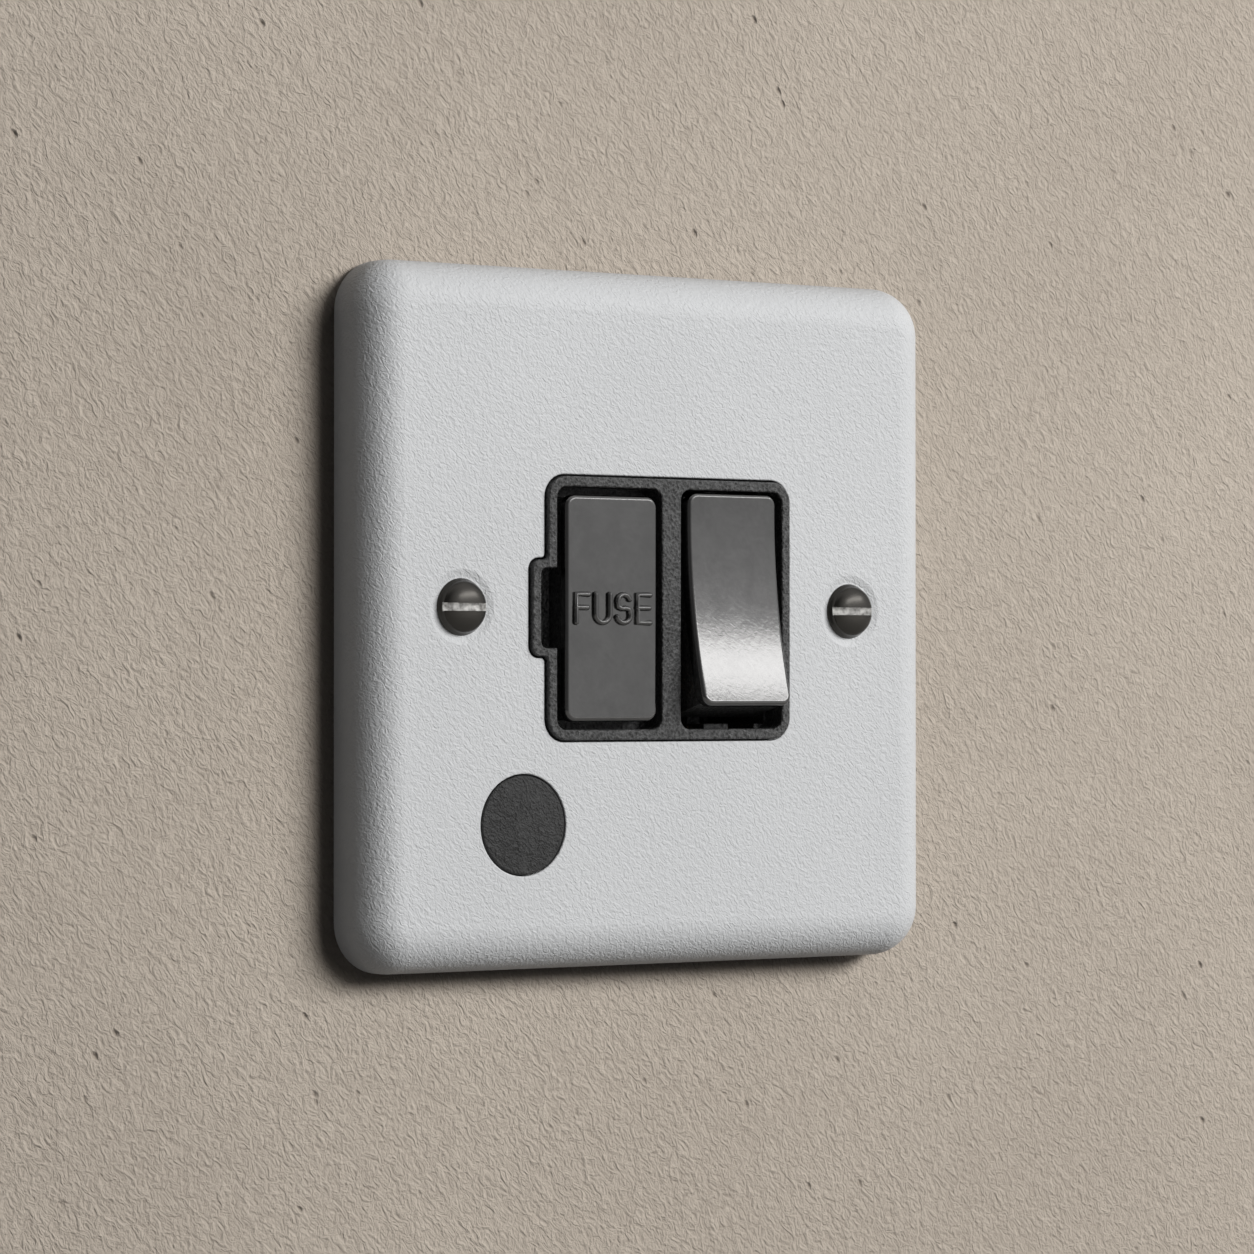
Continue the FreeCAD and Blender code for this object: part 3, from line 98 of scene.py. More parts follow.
# %% Wrap a socket
class Wire:
    """An output socket that can be used in Python sums."""

    def __init__(self, tree, socket):
        self.tree = tree
        self.socket = socket

    def beside(self, out):
        """Another output of the same node."""
        return Wire(self.tree, self.socket.node.outputs[out])

    def __add__(self, other):
        return self.tree.math("ADD", self, other)

    def __radd__(self, other):
        return self.tree.math("ADD", other, self)

    def __sub__(self, other):
        return self.tree.math("SUBTRACT", self, other)

    def __rsub__(self, other):
        return self.tree.math("SUBTRACT", other, self)

    def __mul__(self, other):
        return self.tree.math("MULTIPLY", self, other)

    def __truediv__(self, other):
        return self.tree.math("DIVIDE", self, other)

    def __neg__(self):
        return self.tree.math("MULTIPLY", self, -1.0)

    def clamped(self):
        return self.tree.node(
            "ShaderNodeMath", {"operation": "ADD", "use_clamp": True}, {0: self, 1: 0.0}
        )


print("sums ready")


# %% Wrap a node tree
class Tree:
    """A node tree with one method that adds any node."""

    def __init__(self, tree):
        self.tree = tree

    def node(self, kind, settings=None, sockets=None, out=0):
        made = self.tree.nodes.new(kind)
        for name, value in (settings or {}).items():
            setattr(made, name, value)
        for name, value in (sockets or {}).items():
            for one in value if isinstance(value, list) else [value]:
                if isinstance(one, Wire):
                    self.tree.links.new(one.socket, made.inputs[name])
                else:
                    made.inputs[name].default_value = one
        return Wire(self, made.outputs[out])

    def math(self, operation, *values):
        return self.node("ShaderNodeMath", {"operation": operation}, dict(enumerate(values)))

    def vectors(self, operation, *values):
        """Vector maths, whose length or dot product comes out of the second socket."""
        out = 1 if operation in ("LENGTH", "DOT_PRODUCT") else 0
        settings = {"operation": operation}
        return self.node("ShaderNodeVectorMath", settings, dict(enumerate(values)), out)


print("trees ready")


# %% Wrap a material
class Finish(Tree):
    """A material whose surface is one Principled shader."""

    def __init__(self, name, **constants):
        self.material = bpy.data.materials.new(name)
        self.material.use_nodes = True
        super().__init__(self.material.node_tree)
        self.tree.nodes.clear()
        self.output = self.tree.nodes.new("ShaderNodeOutputMaterial")
        self.shader = self.tree.nodes.new("ShaderNodeBsdfPrincipled")
        self.tree.links.new(self.shader.outputs[0], self.output.inputs[0])
        self.place = self.node("ShaderNodeTexCoord", out="Object")
        for socket, value in constants.items():
            self.feed(socket.replace("_", " "), value)

    def feed(self, socket, value):
        if isinstance(value, Wire):
            self.tree.links.new(value.socket, self.shader.inputs[socket])
        else:
            self.shader.inputs[socket].default_value = value

    def leaning(self, angle, stretch):
        """Object coordinates stretched along a direction that leans from Z towards X."""
        return self.node(
            "ShaderNodeMapping",
            {"vector_type": "TEXTURE"},
            {"Vector": self.place, "Rotation": (0.0, angle, 0.0), "Scale": (1.0, 1.0, stretch)},
        )

    def noise(self, size, detail=2.0, roughness=0.5, place=None, distortion=0.0):
        """Noise whose grains are about this many metres across."""
        return self.node(
            "ShaderNodeTexNoise",
            None,
            {
                "Vector": place or self.place,
                "Scale": 1.0 / size,
                "Detail": detail,
                "Roughness": roughness,
                "Distortion": distortion,
            },
        )

    def cells(self, size, place=None):
        """Distance to the nearest of scattered points that are about this many metres apart."""
        sockets = {"Vector": place or self.place, "Scale": 1.0 / size}
        return self.node("ShaderNodeTexVoronoi", {"feature": "F1"}, sockets)

    def sharper(self, value, gain):
        """The value with more contrast about its middle, held between 0 and 1."""
        return ((value - 0.5) * gain + 0.5).clamped()

    def shade(self, factor, low, high):
        """A colour between two colours."""
        sockets = {"Factor": factor, 6: low, 7: high}
        return self.node("ShaderNodeMix", {"data_type": "RGBA"}, sockets, out=2)

    def seen(self):
        """1 for camera and mirror rays, 0 for the light that a surface throws on others."""
        rays = self.node("ShaderNodeLightPath")
        return (rays + rays.beside("Is Glossy Ray")).clamped()

    def bump(self, height, strength, depth):
        sockets = {"Height": height, "Strength": strength, "Distance": depth}
        return self.node("ShaderNodeBump", None, sockets)

    def one_sided(self):
        """Clear from behind, so that the object is seen from behind the wall and from below."""
        behind = self.node("ShaderNodeNewGeometry", out="Backfacing")
        clear = self.node("ShaderNodeBsdfTransparent")
        solid = Wire(self, self.shader.outputs[0])
        mixed = self.node("ShaderNodeMixShader", None, {0: behind, 1: solid, 2: clear})
        self.tree.links.new(mixed.socket, self.output.inputs[0])


def grey(level, warm=0.0):
    return (level * (1 + warm), level, level * (1 - warm), 1.0)


print("materials ready")

# %% [markdown]
# ## Powder coat
# The faceplate is pressed steel with a baked pale grey powder. The powder flows as it
# bakes, so it keeps a leathery ripple about half a millimetre across and half as long again.
# A noise that is stretched along one diagonal gives the ripple as a bump, a finer one
# roughens it, and the colour hardly changes.

# %% Pale powder coat
RIPPLE = 0.50 * MM
FINE_RIPPLE = 0.24 * MM
POWDER_CLOUD = 22 * MM
POWDER_BUMP = 0.17 * MM
POWDER_DARK, POWDER_LIGHT = grey(0.530, -0.012), grey(0.650, -0.010)
LEAN = math.radians(-46.0)

powder_coat = Finish("powder_coat", Metallic=0.0, Specular_IOR_Level=0.7)
leaning = powder_coat.leaning(LEAN, 1.5)
powder_ripple = powder_coat.noise(RIPPLE, detail=1.0, roughness=0.5, place=leaning, distortion=1.1)
powder_fine = powder_coat.noise(FINE_RIPPLE, detail=1.0, place=leaning)
powder_height = powder_ripple * 0.8 + powder_fine * 0.2
powder_cloud = powder_coat.noise(POWDER_CLOUD, detail=3.0)
powder_tone = powder_cloud * 0.5 + powder_height * 0.5
powder_coat.feed("Base Color", powder_coat.shade(powder_tone, POWDER_DARK, POWDER_LIGHT))
powder_coat.feed("Roughness", 0.38 + powder_fine * 0.14)
powder_coat.feed("Normal", powder_coat.bump(powder_height, 1.0, POWDER_BUMP))
print("powder coat ready")

# %% [markdown]
# ## Dark mouldings
# The frame, the housing and the carrier are moulded in dark plastic from a spark-eroded
# tool, which leaves a grain of about a third of a millimetre; its raised points carry a
# painted glint. The plug in the flex outlet has a softer leathery grain.

# %% Spark-eroded moulding
SPARK_GRAIN, SPARK_CELL, SPARK_CLOUD = 0.34 * MM, 0.50 * MM, 6 * MM
SPARK_BUMP = 0.36 * MM

black_moulding = Finish("black_moulding", Metallic=0.0)
spark_grain = black_moulding.noise(SPARK_GRAIN, detail=2.0, roughness=0.6)
spark_cells = black_moulding.cells(SPARK_CELL)
spark_cloud = black_moulding.noise(SPARK_CLOUD, detail=2.0)
spark_height = spark_grain * 0.6 + spark_cells * 0.4
# The grain's raised points are painted lighter as well as made glossier, a painted glint on the dark
# plastic.
spark_glint = black_moulding.sharper(spark_height, 2.6)
grain_tone_and_painted_glint = spark_glint * 0.8 + spark_cloud * 0.2
black_moulding.feed("Base Color", black_moulding.shade(grain_tone_and_painted_glint, grey(0.006), grey(0.088)))
black_moulding.feed("Roughness", 0.52 - spark_glint * 0.24)
black_moulding.feed("Normal", black_moulding.bump(spark_height, 1.0, SPARK_BUMP))
print("moulding ready")

# %% Leathery plug
PLUG_LEATHER, PLUG_GRAIN, PLUG_HANDLING = 0.62 * MM, 0.24 * MM, 5 * MM
PLUG_BUMP = 0.38 * MM

outlet_plastic = Finish("outlet_plastic", Metallic=0.0, Specular_IOR_Level=0.4)
plug_lean = outlet_plastic.leaning(LEAN, 1.5)
plug_leather = outlet_plastic.noise(PLUG_LEATHER, detail=1.5, roughness=0.5, place=plug_lean, distortion=1.3)
plug_grain = outlet_plastic.noise(PLUG_GRAIN, detail=1.0)
plug_handling = outlet_plastic.noise(PLUG_HANDLING, detail=1.0)
plug_tone = outlet_plastic.sharper(plug_leather * 0.5 + plug_handling * 0.5, 2.4)
outlet_plastic.feed("Base Color", outlet_plastic.shade(plug_tone, grey(0.004), grey(0.040)))
outlet_plastic.feed("Roughness", 0.34 + plug_handling * 0.24)
plug_height = plug_leather * 0.7 + plug_grain * 0.3
outlet_plastic.feed("Normal", outlet_plastic.bump(plug_height, 1.0, PLUG_BUMP))
print("plug ready")

# %% [markdown]
# ## Metals
# The drawer face and the rocker cap are brass with a satin black nickel plate. A plated
# metal is one dark metallic colour whose roughness wanders a little, with a faint mottle.
# The bare metals inside follow the same rule with colours of their own.


# %% A maker for plated and bare metals
METAL_CLOUD, METAL_MOTTLE, METAL_BUMP = 4.0 * MM, 0.45 * MM, 0.020 * MM
METALS = {
    "dark_nickel": (grey(0.084, 0.01), grey(0.144, 0.01), 0.09, 0.08),
    "terminal_brass": ((0.56, 0.40, 0.15, 1), (0.70, 0.52, 0.23, 1), 0.20, 0.16),
    "contact_copper": ((0.62, 0.38, 0.20, 1), (0.74, 0.49, 0.28, 1), 0.24, 0.18),
    "zinc_steel": ((0.50, 0.51, 0.50, 1), (0.66, 0.66, 0.63, 1), 0.26, 0.18),
    "spring_steel": (grey(0.42), grey(0.55), 0.22, 0.10),
    "fuse_cap_metal": ((0.60, 0.57, 0.50, 1), (0.74, 0.71, 0.64, 1), 0.18, 0.14),
}


def metal(name, dark, light, roughness, spread):
    finish = Finish(name, Metallic=1.0)
    cloud = finish.noise(METAL_CLOUD, detail=3.0, distortion=0.8)
    mottle_place = finish.leaning(LEAN, 1.7)
    mottle = finish.noise(METAL_MOTTLE, detail=2.5, roughness=0.6, place=mottle_place, distortion=0.5)
    finish.feed("Base Color", finish.shade(cloud * 0.55 + mottle * 0.45, dark, light))
    finish.feed("Roughness", roughness + cloud * spread + mottle * spread * 0.5)
    finish.feed("Normal", finish.bump(mottle, 0.5, METAL_BUMP))
    return finish


metals = {name: metal(name, *row) for name, row in METALS.items()}
dark_nickel, zinc_steel = metals["dark_nickel"], metals["zinc_steel"]
print("metals:", ", ".join(metals))

# %% [markdown]
# ## Screw nickel
# The fixing screws have a dark nickel of their own, and their slots are worn bright. The
# slot floor sits at one level, within half a millimetre of the slot's middle, so two
# comparisons on the Object coordinates find it, and a noise makes its wear uneven.

# %% Worn slots on the fixing screws
SLOT_DEPTH = 1.1 * MM
SLOT_HALF, FLOOR_PLAY = 0.56 * MM, 0.12 * MM
SLOT_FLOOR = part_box("fixing_screw_left")[0].y + SLOT_DEPTH
PLATED, WORN = (0.055, 0.052, 0.048, 1), (0.60, 0.59, 0.57, 1)

screw_nickel = Finish("screw_nickel", Metallic=1.0)
where = screw_nickel.node("ShaderNodeSeparateXYZ", None, {"Vector": screw_nickel.place})
near_middle = screw_nickel.math("COMPARE", where.beside(2), 0.0, SLOT_HALF)
below_dome = screw_nickel.math("COMPARE", where.beside(1), SLOT_FLOOR, FLOOR_PLAY)
slot_wear = screw_nickel.noise(0.60 * MM, detail=3.0)
slot_floor = near_middle * below_dome
bright = slot_floor * ((slot_wear - 0.22) * 2.0).clamped()
screw_nickel.feed("Base Color", screw_nickel.shade(bright, PLATED, WORN))
screw_nickel.feed("Roughness", 0.20 + slot_wear * 0.10 + slot_floor * 0.12)
screw_nickel.feed("Normal", screw_nickel.bump(slot_wear, 0.2, 0.012 * MM))
print("screw nickel ready")

# %% [markdown]
# ## Fuse and plungers
# The fuse is a glazed ceramic tube, which is smooth with a faint speckle, and the plungers
# are natural nylon, which is matte and a little uneven.

# %% Ceramic and nylon
fuse_ceramic = Finish("fuse_ceramic", Metallic=0.0, Coat_Weight=0.6)
speckle = fuse_ceramic.noise(0.5 * MM, detail=3.0)
fuse_ceramic.feed("Base Color", fuse_ceramic.shade(speckle, (0.66, 0.62, 0.53, 1), (0.80, 0.77, 0.69, 1)))
fuse_ceramic.feed("Roughness", 0.22 + speckle * 0.12)
fuse_ceramic.feed("Normal", fuse_ceramic.bump(speckle, 0.2, 0.02 * MM))

nylon = Finish("nylon", Metallic=0.0)
cloudy = nylon.noise(0.8 * MM, detail=3.0)
nylon.feed("Base Color", nylon.shade(cloudy, (0.62, 0.60, 0.54, 1), (0.74, 0.72, 0.66, 1)))
nylon.feed("Roughness", 0.42 + cloudy * 0.14)
nylon.feed("Normal", nylon.bump(cloudy, 0.2, 0.02 * MM))
print("fuse and nylon ready")

# %% [markdown]
# ## Dressing the model
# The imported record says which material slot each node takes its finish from, and the
# finishes above carry the slots' names, so one loop dresses every node.

# %% Give each node its finish
for row in frame["record"]["subparts"]:
    node = frame["nodes"][row["node"]]
    node.data.materials.clear()
    node.data.materials.append(bpy.data.materials[row["material_slot"]])

# %% [markdown]
# ## Turned screws
# Fourteen screws hold this unit and its wires, and all have a round head, one slot and a
# thread. A screw follows a rule, so one Geometry Nodes tree makes them all: a flat grid is
# rolled up about an axis, and its radius comes from the height along the screw. Sums of
# clamped steps give the head, and a zigzag that climbs once in each turn gives the thread.


# %% A tree with named inputs
WELD = 1e-6


class Shape(Tree):
    """A Geometry Nodes tree: its inputs by name, and helpers for the sums that place points."""

    def __init__(self, name, lengths, counts):
        group = bpy.data.node_groups.new(name, "GeometryNodeTree")
        super().__init__(group)
        faces = group.interface
        faces.new_socket("Geometry", in_out="INPUT", socket_type="NodeSocketGeometry")
        for label in lengths:
            faces.new_socket(label, in_out="INPUT", socket_type="NodeSocketFloat")
        for label in counts:
            faces.new_socket(label, in_out="INPUT", socket_type="NodeSocketInt")
        faces.new_socket("Finish", in_out="INPUT", socket_type="NodeSocketMaterial")
        faces.new_socket("Geometry", in_out="OUTPUT", socket_type="NodeSocketGeometry")
        self.entry = group.nodes.new("NodeGroupInput")
        self.exit = group.nodes.new("NodeGroupOutput")

    def given(self, label):
        return Wire(self, self.entry.outputs[label])

    def share(self, value, start, end):
        """How far the value has come from start to end, held between 0 and 1."""
        return ((value - start) / (end - start)).clamped()

    def vector(self, x, y, z):
        return self.node("ShaderNodeCombineXYZ", None, {0: x, 1: y, 2: z})

    def rolled(self, columns, rows, profile):
        """A grid rolled into a closed surface, whose radius and height come from a profile."""
        counts = {"Size X": 1.0, "Size Y": 1.0, "Vertices X": columns, "Vertices Y": rows}
        grid = self.node("GeometryNodeMeshGrid", None, counts)
        where = self.node("GeometryNodeInputPosition")
        parts = self.node("ShaderNodeSeparateXYZ", None, {0: where})
        turn = parts + 0.5
        share = parts.beside(1) + 0.5
        radius, height = profile(turn, share)
        angle = turn * (2 * math.pi)
        spot = self.vector(radius * self.math("COSINE", angle), radius * self.math("SINE", angle), height)
        placed = self.node("GeometryNodeSetPosition", None, {"Geometry": grid, "Position": spot})
        sockets = {"Geometry": placed, "Distance": WELD}
        return self.node("GeometryNodeMergeByDistance", None, sockets)

    def close(self, geometry):
        real = self.node("GeometryNodeRealizeInstances", None, {"Geometry": geometry})
        sockets = {"Geometry": real, "Material": self.given("Finish")}
        dressed = self.node("GeometryNodeSetMaterial", None, sockets)
        self.tree.links.new(dressed.socket, self.exit.inputs[0])


print("shape helpers ready")

# %% The screw's rule
SCREW_LENGTHS = (
    "Head Width",
    "Edge",
    "Taper",
    "Dome",
    "Slot Width",
    "Slot Depth",
    "Neck Width",
    "Neck Length",
    "Thread Width",
    "Ridge",
    "Pitch",
    "Reach",
    "Facing",
    "Slot Swing",
)
screw_rule = Shape("slotted_screw", SCREW_LENGTHS, ("Around", "Along", "Seed"))
given = screw_rule.given
SUNK = 0.3 * MM
HEAD_ROWS = 30
UNDERSIDE, SIDE = 0.12, 0.30
TIP_START, TIP_WIDTH, CLOSED = 0.975, 0.75, 1e-4


def head_profile(turn, share):
    under = screw_rule.share(share, 0.0, UNDERSIDE)
    side = screw_rule.share(share, UNDERSIDE, SIDE)
    over = screw_rule.share(share, SIDE, 1.0) * (math.pi / 2)
    flat = given("Head Width") * 0.5 - given("Taper")
    fall = 1.0 - screw_rule.math("COSINE", over)
    rise = screw_rule.math("SINE", over)
    radius = given("Head Width") * 0.5 * under - given("Taper") * side - flat * fall
    return radius, given("Edge") * side + given("Dome") * rise


def shank_profile(turn, share):
    height = SUNK - share * (given("Reach") + SUNK)
    neck = -given("Neck Length")
    threaded = screw_rule.share(height, neck, neck - given("Ridge"))
    climb = height / given("Pitch") + turn
    zigzag = screw_rule.math("PINGPONG", climb, 0.5) * 2.0
    crest = given("Thread Width") * 0.5 - given("Ridge") * zigzag
    plain = given("Neck Width") * 0.5
    radius = plain + (crest - plain) * threaded
    tip = screw_rule.share(share, 1.0, TIP_START) * (1.0 - TIP_WIDTH) + TIP_WIDTH
    ends = screw_rule.share(share, 0.0, CLOSED) * screw_rule.share(share, 1.0, 1.0 - CLOSED)
    return radius * tip * ends, height


print("screw inputs:", len(SCREW_LENGTHS) + 3)

# %% Head with its slot, and shank with its thread
turned_head = screw_rule.rolled(given("Around"), HEAD_ROWS, head_profile)
top = screw_rule.vector(0.0, 0.0, given("Edge") + given("Dome"))
slot_size = screw_rule.vector(given("Head Width") * 2.0, given("Slot Width"), given("Slot Depth") * 2.0)
slot_bar = screw_rule.node("GeometryNodeMeshCube", None, {"Size": slot_size})
slot_place = screw_rule.node("GeometryNodeTransform", None, {"Geometry": slot_bar, "Translation": top})
cut_head = screw_rule.node(
    "GeometryNodeMeshBoolean",
    {"operation": "DIFFERENCE", "solver": "EXACT"},
    {"Mesh 1": turned_head, "Mesh 2": slot_place},
)
shank = screw_rule.rolled(given("Around"), given("Along"), shank_profile)
whole_screw = screw_rule.node("GeometryNodeJoinGeometry", None, {"Geometry": [cut_head, shank]})
facing = screw_rule.vector(given("Facing"), 0.0, 0.0)
turned_screw = screw_rule.node(
    "GeometryNodeTransform", None, {"Geometry": whole_screw, "Rotation": facing}
)
print("head of", HEAD_ROWS, "rows")

# %% One screw on each point
swing = screw_rule.node(
    "FunctionNodeRandomValue",
    {"data_type": "FLOAT"},
    {2: -given("Slot Swing"), 3: given("Slot Swing"), "Seed": given("Seed")},
    out=1,
)
all_screws = screw_rule.node(
    "GeometryNodeInstanceOnPoints",
    None,
    {
        "Points": given("Geometry"),
        "Instance": turned_screw,
        "Rotation": screw_rule.vector(0.0, swing, 0.0),
    },
)
screw_rule.close(all_screws)
print("screw tree:", len(screw_rule.tree.nodes), "nodes")


# %% Make a tree's result a plain mesh
SHARP_ANGLE = math.radians(32.0)


def smooth_with_sharp_edges(mesh):
    shape = bmesh.new()
    shape.from_mesh(mesh)
    bmesh.ops.remove_doubles(shape, verts=shape.verts, dist=1e-7)
    bmesh.ops.recalc_face_normals(shape, faces=shape.faces)
    for face in shape.faces:
        face.smooth = True
    for edge in shape.edges:
        edge.smooth = len(edge.link_faces) == 2 and edge.calc_face_angle() < SHARP_ANGLE
    shape.to_mesh(mesh)
    shape.free()


def grown(name, shape, places, sizes, finish):
    """Run a tree on points, and keep its result as a plain mesh with no modifier."""
    seed_mesh = bpy.data.meshes.new(name + "_places")
    seed_mesh.from_pydata(places, [], [])
    piece = bpy.data.objects.new(name, seed_mesh)
    scene.collection.objects.link(piece)
    modifier = piece.modifiers.new("shape", "NODES")
    modifier.node_group = shape.tree
    sockets = {item.name: item for item in shape.tree.interface.items_tree if item.in_out == "INPUT"}
    for label, value in {**sizes, "Finish": finish.material}.items():
        modifier[sockets[label].identifier] = value
    bpy.context.view_layer.update()
    depsgraph = bpy.context.evaluated_depsgraph_get()
    mesh = bpy.data.meshes.new_from_object(piece.evaluated_get(depsgraph))
    piece.modifiers.clear()
    piece.data = mesh
    mesh.name = name
    bpy.data.meshes.remove(seed_mesh)
    smooth_with_sharp_edges(mesh)
    mesh.materials.clear()
    mesh.materials.append(finish.material)
    print(name, "has", len(mesh.polygons), "faces")
    return piece


# %% [markdown]
# ## Fixing screws
# Two raised-head screws hold the plate to the wall box. Each sits where its CAD node is, so
# the node's box gives the middle and the seat. Their slots were left level by the fitter.

# %% Two fixing screws
HEAD_RISE = 1.95 * MM
HEAD_OUT, HEAD_IN = math.radians(90.0), math.radians(-90.0)
for side in ("left", "right"):
    low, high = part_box(f"fixing_screw_{side}")
    middle = (low + high) / 2
    fixing = grown(
        f"fixing_screw_{side}_turned",
        screw_rule,
        [(middle.x, low.y + HEAD_RISE, middle.z)],
        {
            "Head Width": 7.2 * MM,
            "Edge": 0.75 * MM,
            "Taper": 0.4 * MM,
            "Dome": 1.2 * MM,
            "Slot Width": 1.0 * MM,
            "Slot Depth": SLOT_DEPTH,
            "Neck Width": 3.0 * MM,
            "Neck Length": 2.15 * MM,
            "Thread Width": 3.5 * MM,
            "Ridge": 0.3 * MM,
            "Pitch": 0.6 * MM,
            "Reach": high.y - low.y - HEAD_RISE,
            "Facing": HEAD_OUT,
            "Slot Swing": 0.0,
            "Around": 49,
            "Along": 260,
            "Seed": 1,
        },
        screw_nickel,
    )
    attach(fixing, "housing")
    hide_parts(f"fixing_screw_{side}")

# %% [markdown]
# ## Screws at the back
# The same tree makes the screws that clamp the wires, join the mouldings and hold the
# cord grip. They face the other way, and each slot stopped at an angle of its own, so the
# tree draws a turn for each from its seed. Their places come from the boxes of the CAD
# screws: several screws share a node there, so the node is first split into its solids.


# %% Find the solids of a node
def solid_boxes(name):
    """The lowest and highest corner of each separate solid of a CAD node, in a fixed order."""
    shape = bmesh.new()
    shape.from_mesh(frame["nodes"][name].data)
    bmesh.ops.remove_doubles(shape, verts=shape.verts, dist=WELD)
    waiting = set(shape.verts)
    boxes = []
    while waiting:
        reached = [waiting.pop()]
        for vertex in reached:
            for edge in vertex.link_edges:
                other = edge.other_vert(vertex)
                if other in waiting:
                    waiting.discard(other)
                    reached.append(other)
        corners = list(zip(*(vertex.co for vertex in reached)))
        boxes.append((tuple(map(min, corners)), tuple(map(max, corners))))
    shape.free()
    return sorted(boxes)


print("cord grip screws:", len(solid_boxes("cord_grip_screws")))


# %% Terminal, housing and cord grip screws
BACK_SCREWS = {
    "terminal_screws": {"head": (5.4, 1.8), "slot": (1.0, 0.9), "thread": (3.4, 0.5)},
    "housing_screws": {"head": (5.2, 1.6), "slot": (1.0, 0.8), "thread": (2.6, 0.45)},
    "cord_grip_screws": {"head": (3.4, 1.4), "slot": (0.8, 0.7), "thread": (2.6, 0.45)},
}
EDGE_SHARE = 0.75
STEPS_PER_TURN = 10
FIRST_SEED = 3
for number, (name, row) in enumerate(BACK_SCREWS.items()):
    head_width, head_height = row["head"]
    slot_width, slot_depth = row["slot"]
    thread_width, pitch = row["thread"]
    boxes = solid_boxes(name)
    seat = boxes[0][1][1] - head_height * MM
    reach = seat - boxes[0][0][1]
    batch = grown(
        f"{name}_turned",
        screw_rule,
        [((low[0] + high[0]) / 2, seat, (low[2] + high[2]) / 2) for low, high in boxes],
        {
            "Head Width": head_width * MM,
            "Edge": head_height * EDGE_SHARE * MM,
            "Taper": 0.15 * MM,
            "Dome": head_height * (1 - EDGE_SHARE) * MM,
            "Slot Width": slot_width * MM,
            "Slot Depth": slot_depth * MM,
            "Neck Width": (thread_width - pitch) * MM,
            "Neck Length": 0.3 * MM,
            "Thread Width": thread_width * MM,
            "Ridge": pitch / 2 * MM,
            "Pitch": pitch * MM,
            "Reach": reach,
            "Facing": HEAD_IN,
            "Slot Swing": math.radians(80.0),
            "Around": 33,
            "Along": int(reach / (pitch * MM) * STEPS_PER_TURN) + STEPS_PER_TURN,
            "Seed": FIRST_SEED + number,
        },
        zinc_steel,
    )
    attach(batch, "housing")
    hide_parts(name)
    print(len(boxes), name, "reach", round(reach / MM, 2), "mm")

# %% [markdown]
# ## Pressed metal faces
# The drawer's face and the rocker's cap are brass pressings whose corners and front edges
# are softer than a milled plate's. Both are drawn as rings: the outline of a round-cornered
# rectangle, drawn in a little more at each step of the quarter round that turns the side
# into the front. A last ring close inside keeps the front's shading flat. The rocker's cap
# is bowed as well, so its rings sink towards the middle of its height.

# %% Press a face out of rings
CORNER_STEPS, SIDE_STEPS, EDGE_STEPS = 10, 48, 8
FLAT_STRIP = 0.06 * MM


def half_outline(half_width, half_height, corner, inset):
    """The right half of a round-cornered outline, from its top to its bottom."""
    radius = corner - inset
    turns = [math.pi / 2 * (1 - step / CORNER_STEPS) for step in range(CORNER_STEPS + 1)]
    centre_x, centre_z = half_width - corner, half_height - corner
    top = [(centre_x + radius * math.cos(t), centre_z + radius * math.sin(t)) for t in turns]
    side = [(half_width - inset, centre_z * (1 - 2 * step / SIDE_STEPS)) for step in range(1, SIDE_STEPS)]
    return top + side + [(x, -z) for x, z in reversed(top)]


def pressed_face(name, low, high, corner, edge, skin, bow=0.0, turned=Matrix()):
    """A pressing in the front of a box, bowed inwards, and turned with its body."""
    middle, half = (low + high) / 2, (high - low) / 2
    quarter = [math.pi / 2 * step / EDGE_STEPS for step in range(EDGE_STEPS + 1)]
    steps = [(0.0, skin)] + [(edge * (1 - math.cos(t)), edge * (1 - math.sin(t))) for t in quarter]
    steps += [(edge + FLAT_STRIP, 0.0)]
    points = []
    for inset, depth in steps:
        right = half_outline(half.x, half.z, corner, inset)
        for x, z in right + [(-x, z) for x, z in reversed(right)]:
            sunk = bow * (1 - (z / half.z) ** 2)
            points.append(turned @ Vector((middle.x + x, low.y + depth + sunk, middle.z + z)))
    around = len(points) // len(steps)
    faces = [
        (start + i, start + (i + 1) % around, start + around + (i + 1) % around, start + around + i)
        for start in range(0, around * (len(steps) - 1), around)
        for i in range(around)
    ]
    for start in (0, around * (len(steps) - 1)):
        last = start + around - 1
        faces += [(start + i, start + i + 1, last - i - 1, last - i) for i in range(around // 2 - 1)]
    mesh = bpy.data.meshes.new(name)
    mesh.from_pydata(points, [], faces)
    smooth_with_sharp_edges(mesh)
    mesh.materials.append(dark_nickel.material)
    piece = bpy.data.objects.new(name, mesh)
    scene.collection.objects.link(piece)
    print(name, "has", len(mesh.polygons), "faces")
    return piece


# %% Drawer face
FACE_CORNER, DRAWER_EDGE = 1.5 * MM, 0.55 * MM

drawer_low, drawer_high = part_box("fuse_drawer_face")
drawer_middle = (drawer_low + drawer_high) / 2
drawer_skin = drawer_high.y - drawer_low.y
drawer_face = pressed_face(
    "drawer_face_pressed", drawer_low, drawer_high, FACE_CORNER, DRAWER_EDGE, drawer_skin
)
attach(drawer_face, "fuse_drawer")
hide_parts("fuse_drawer_face")

# %% [markdown]
# The rocker is modelled pressed at its upper end. Turned back by half its swing it stands
# level, and in that position its cap's corners give the box that the new cap is drawn in.

# %% Rocker cap
CAP_EDGE, CAP_SKIN, CAP_BOW = 0.6 * MM, 1.6 * MM, 1.1 * MM

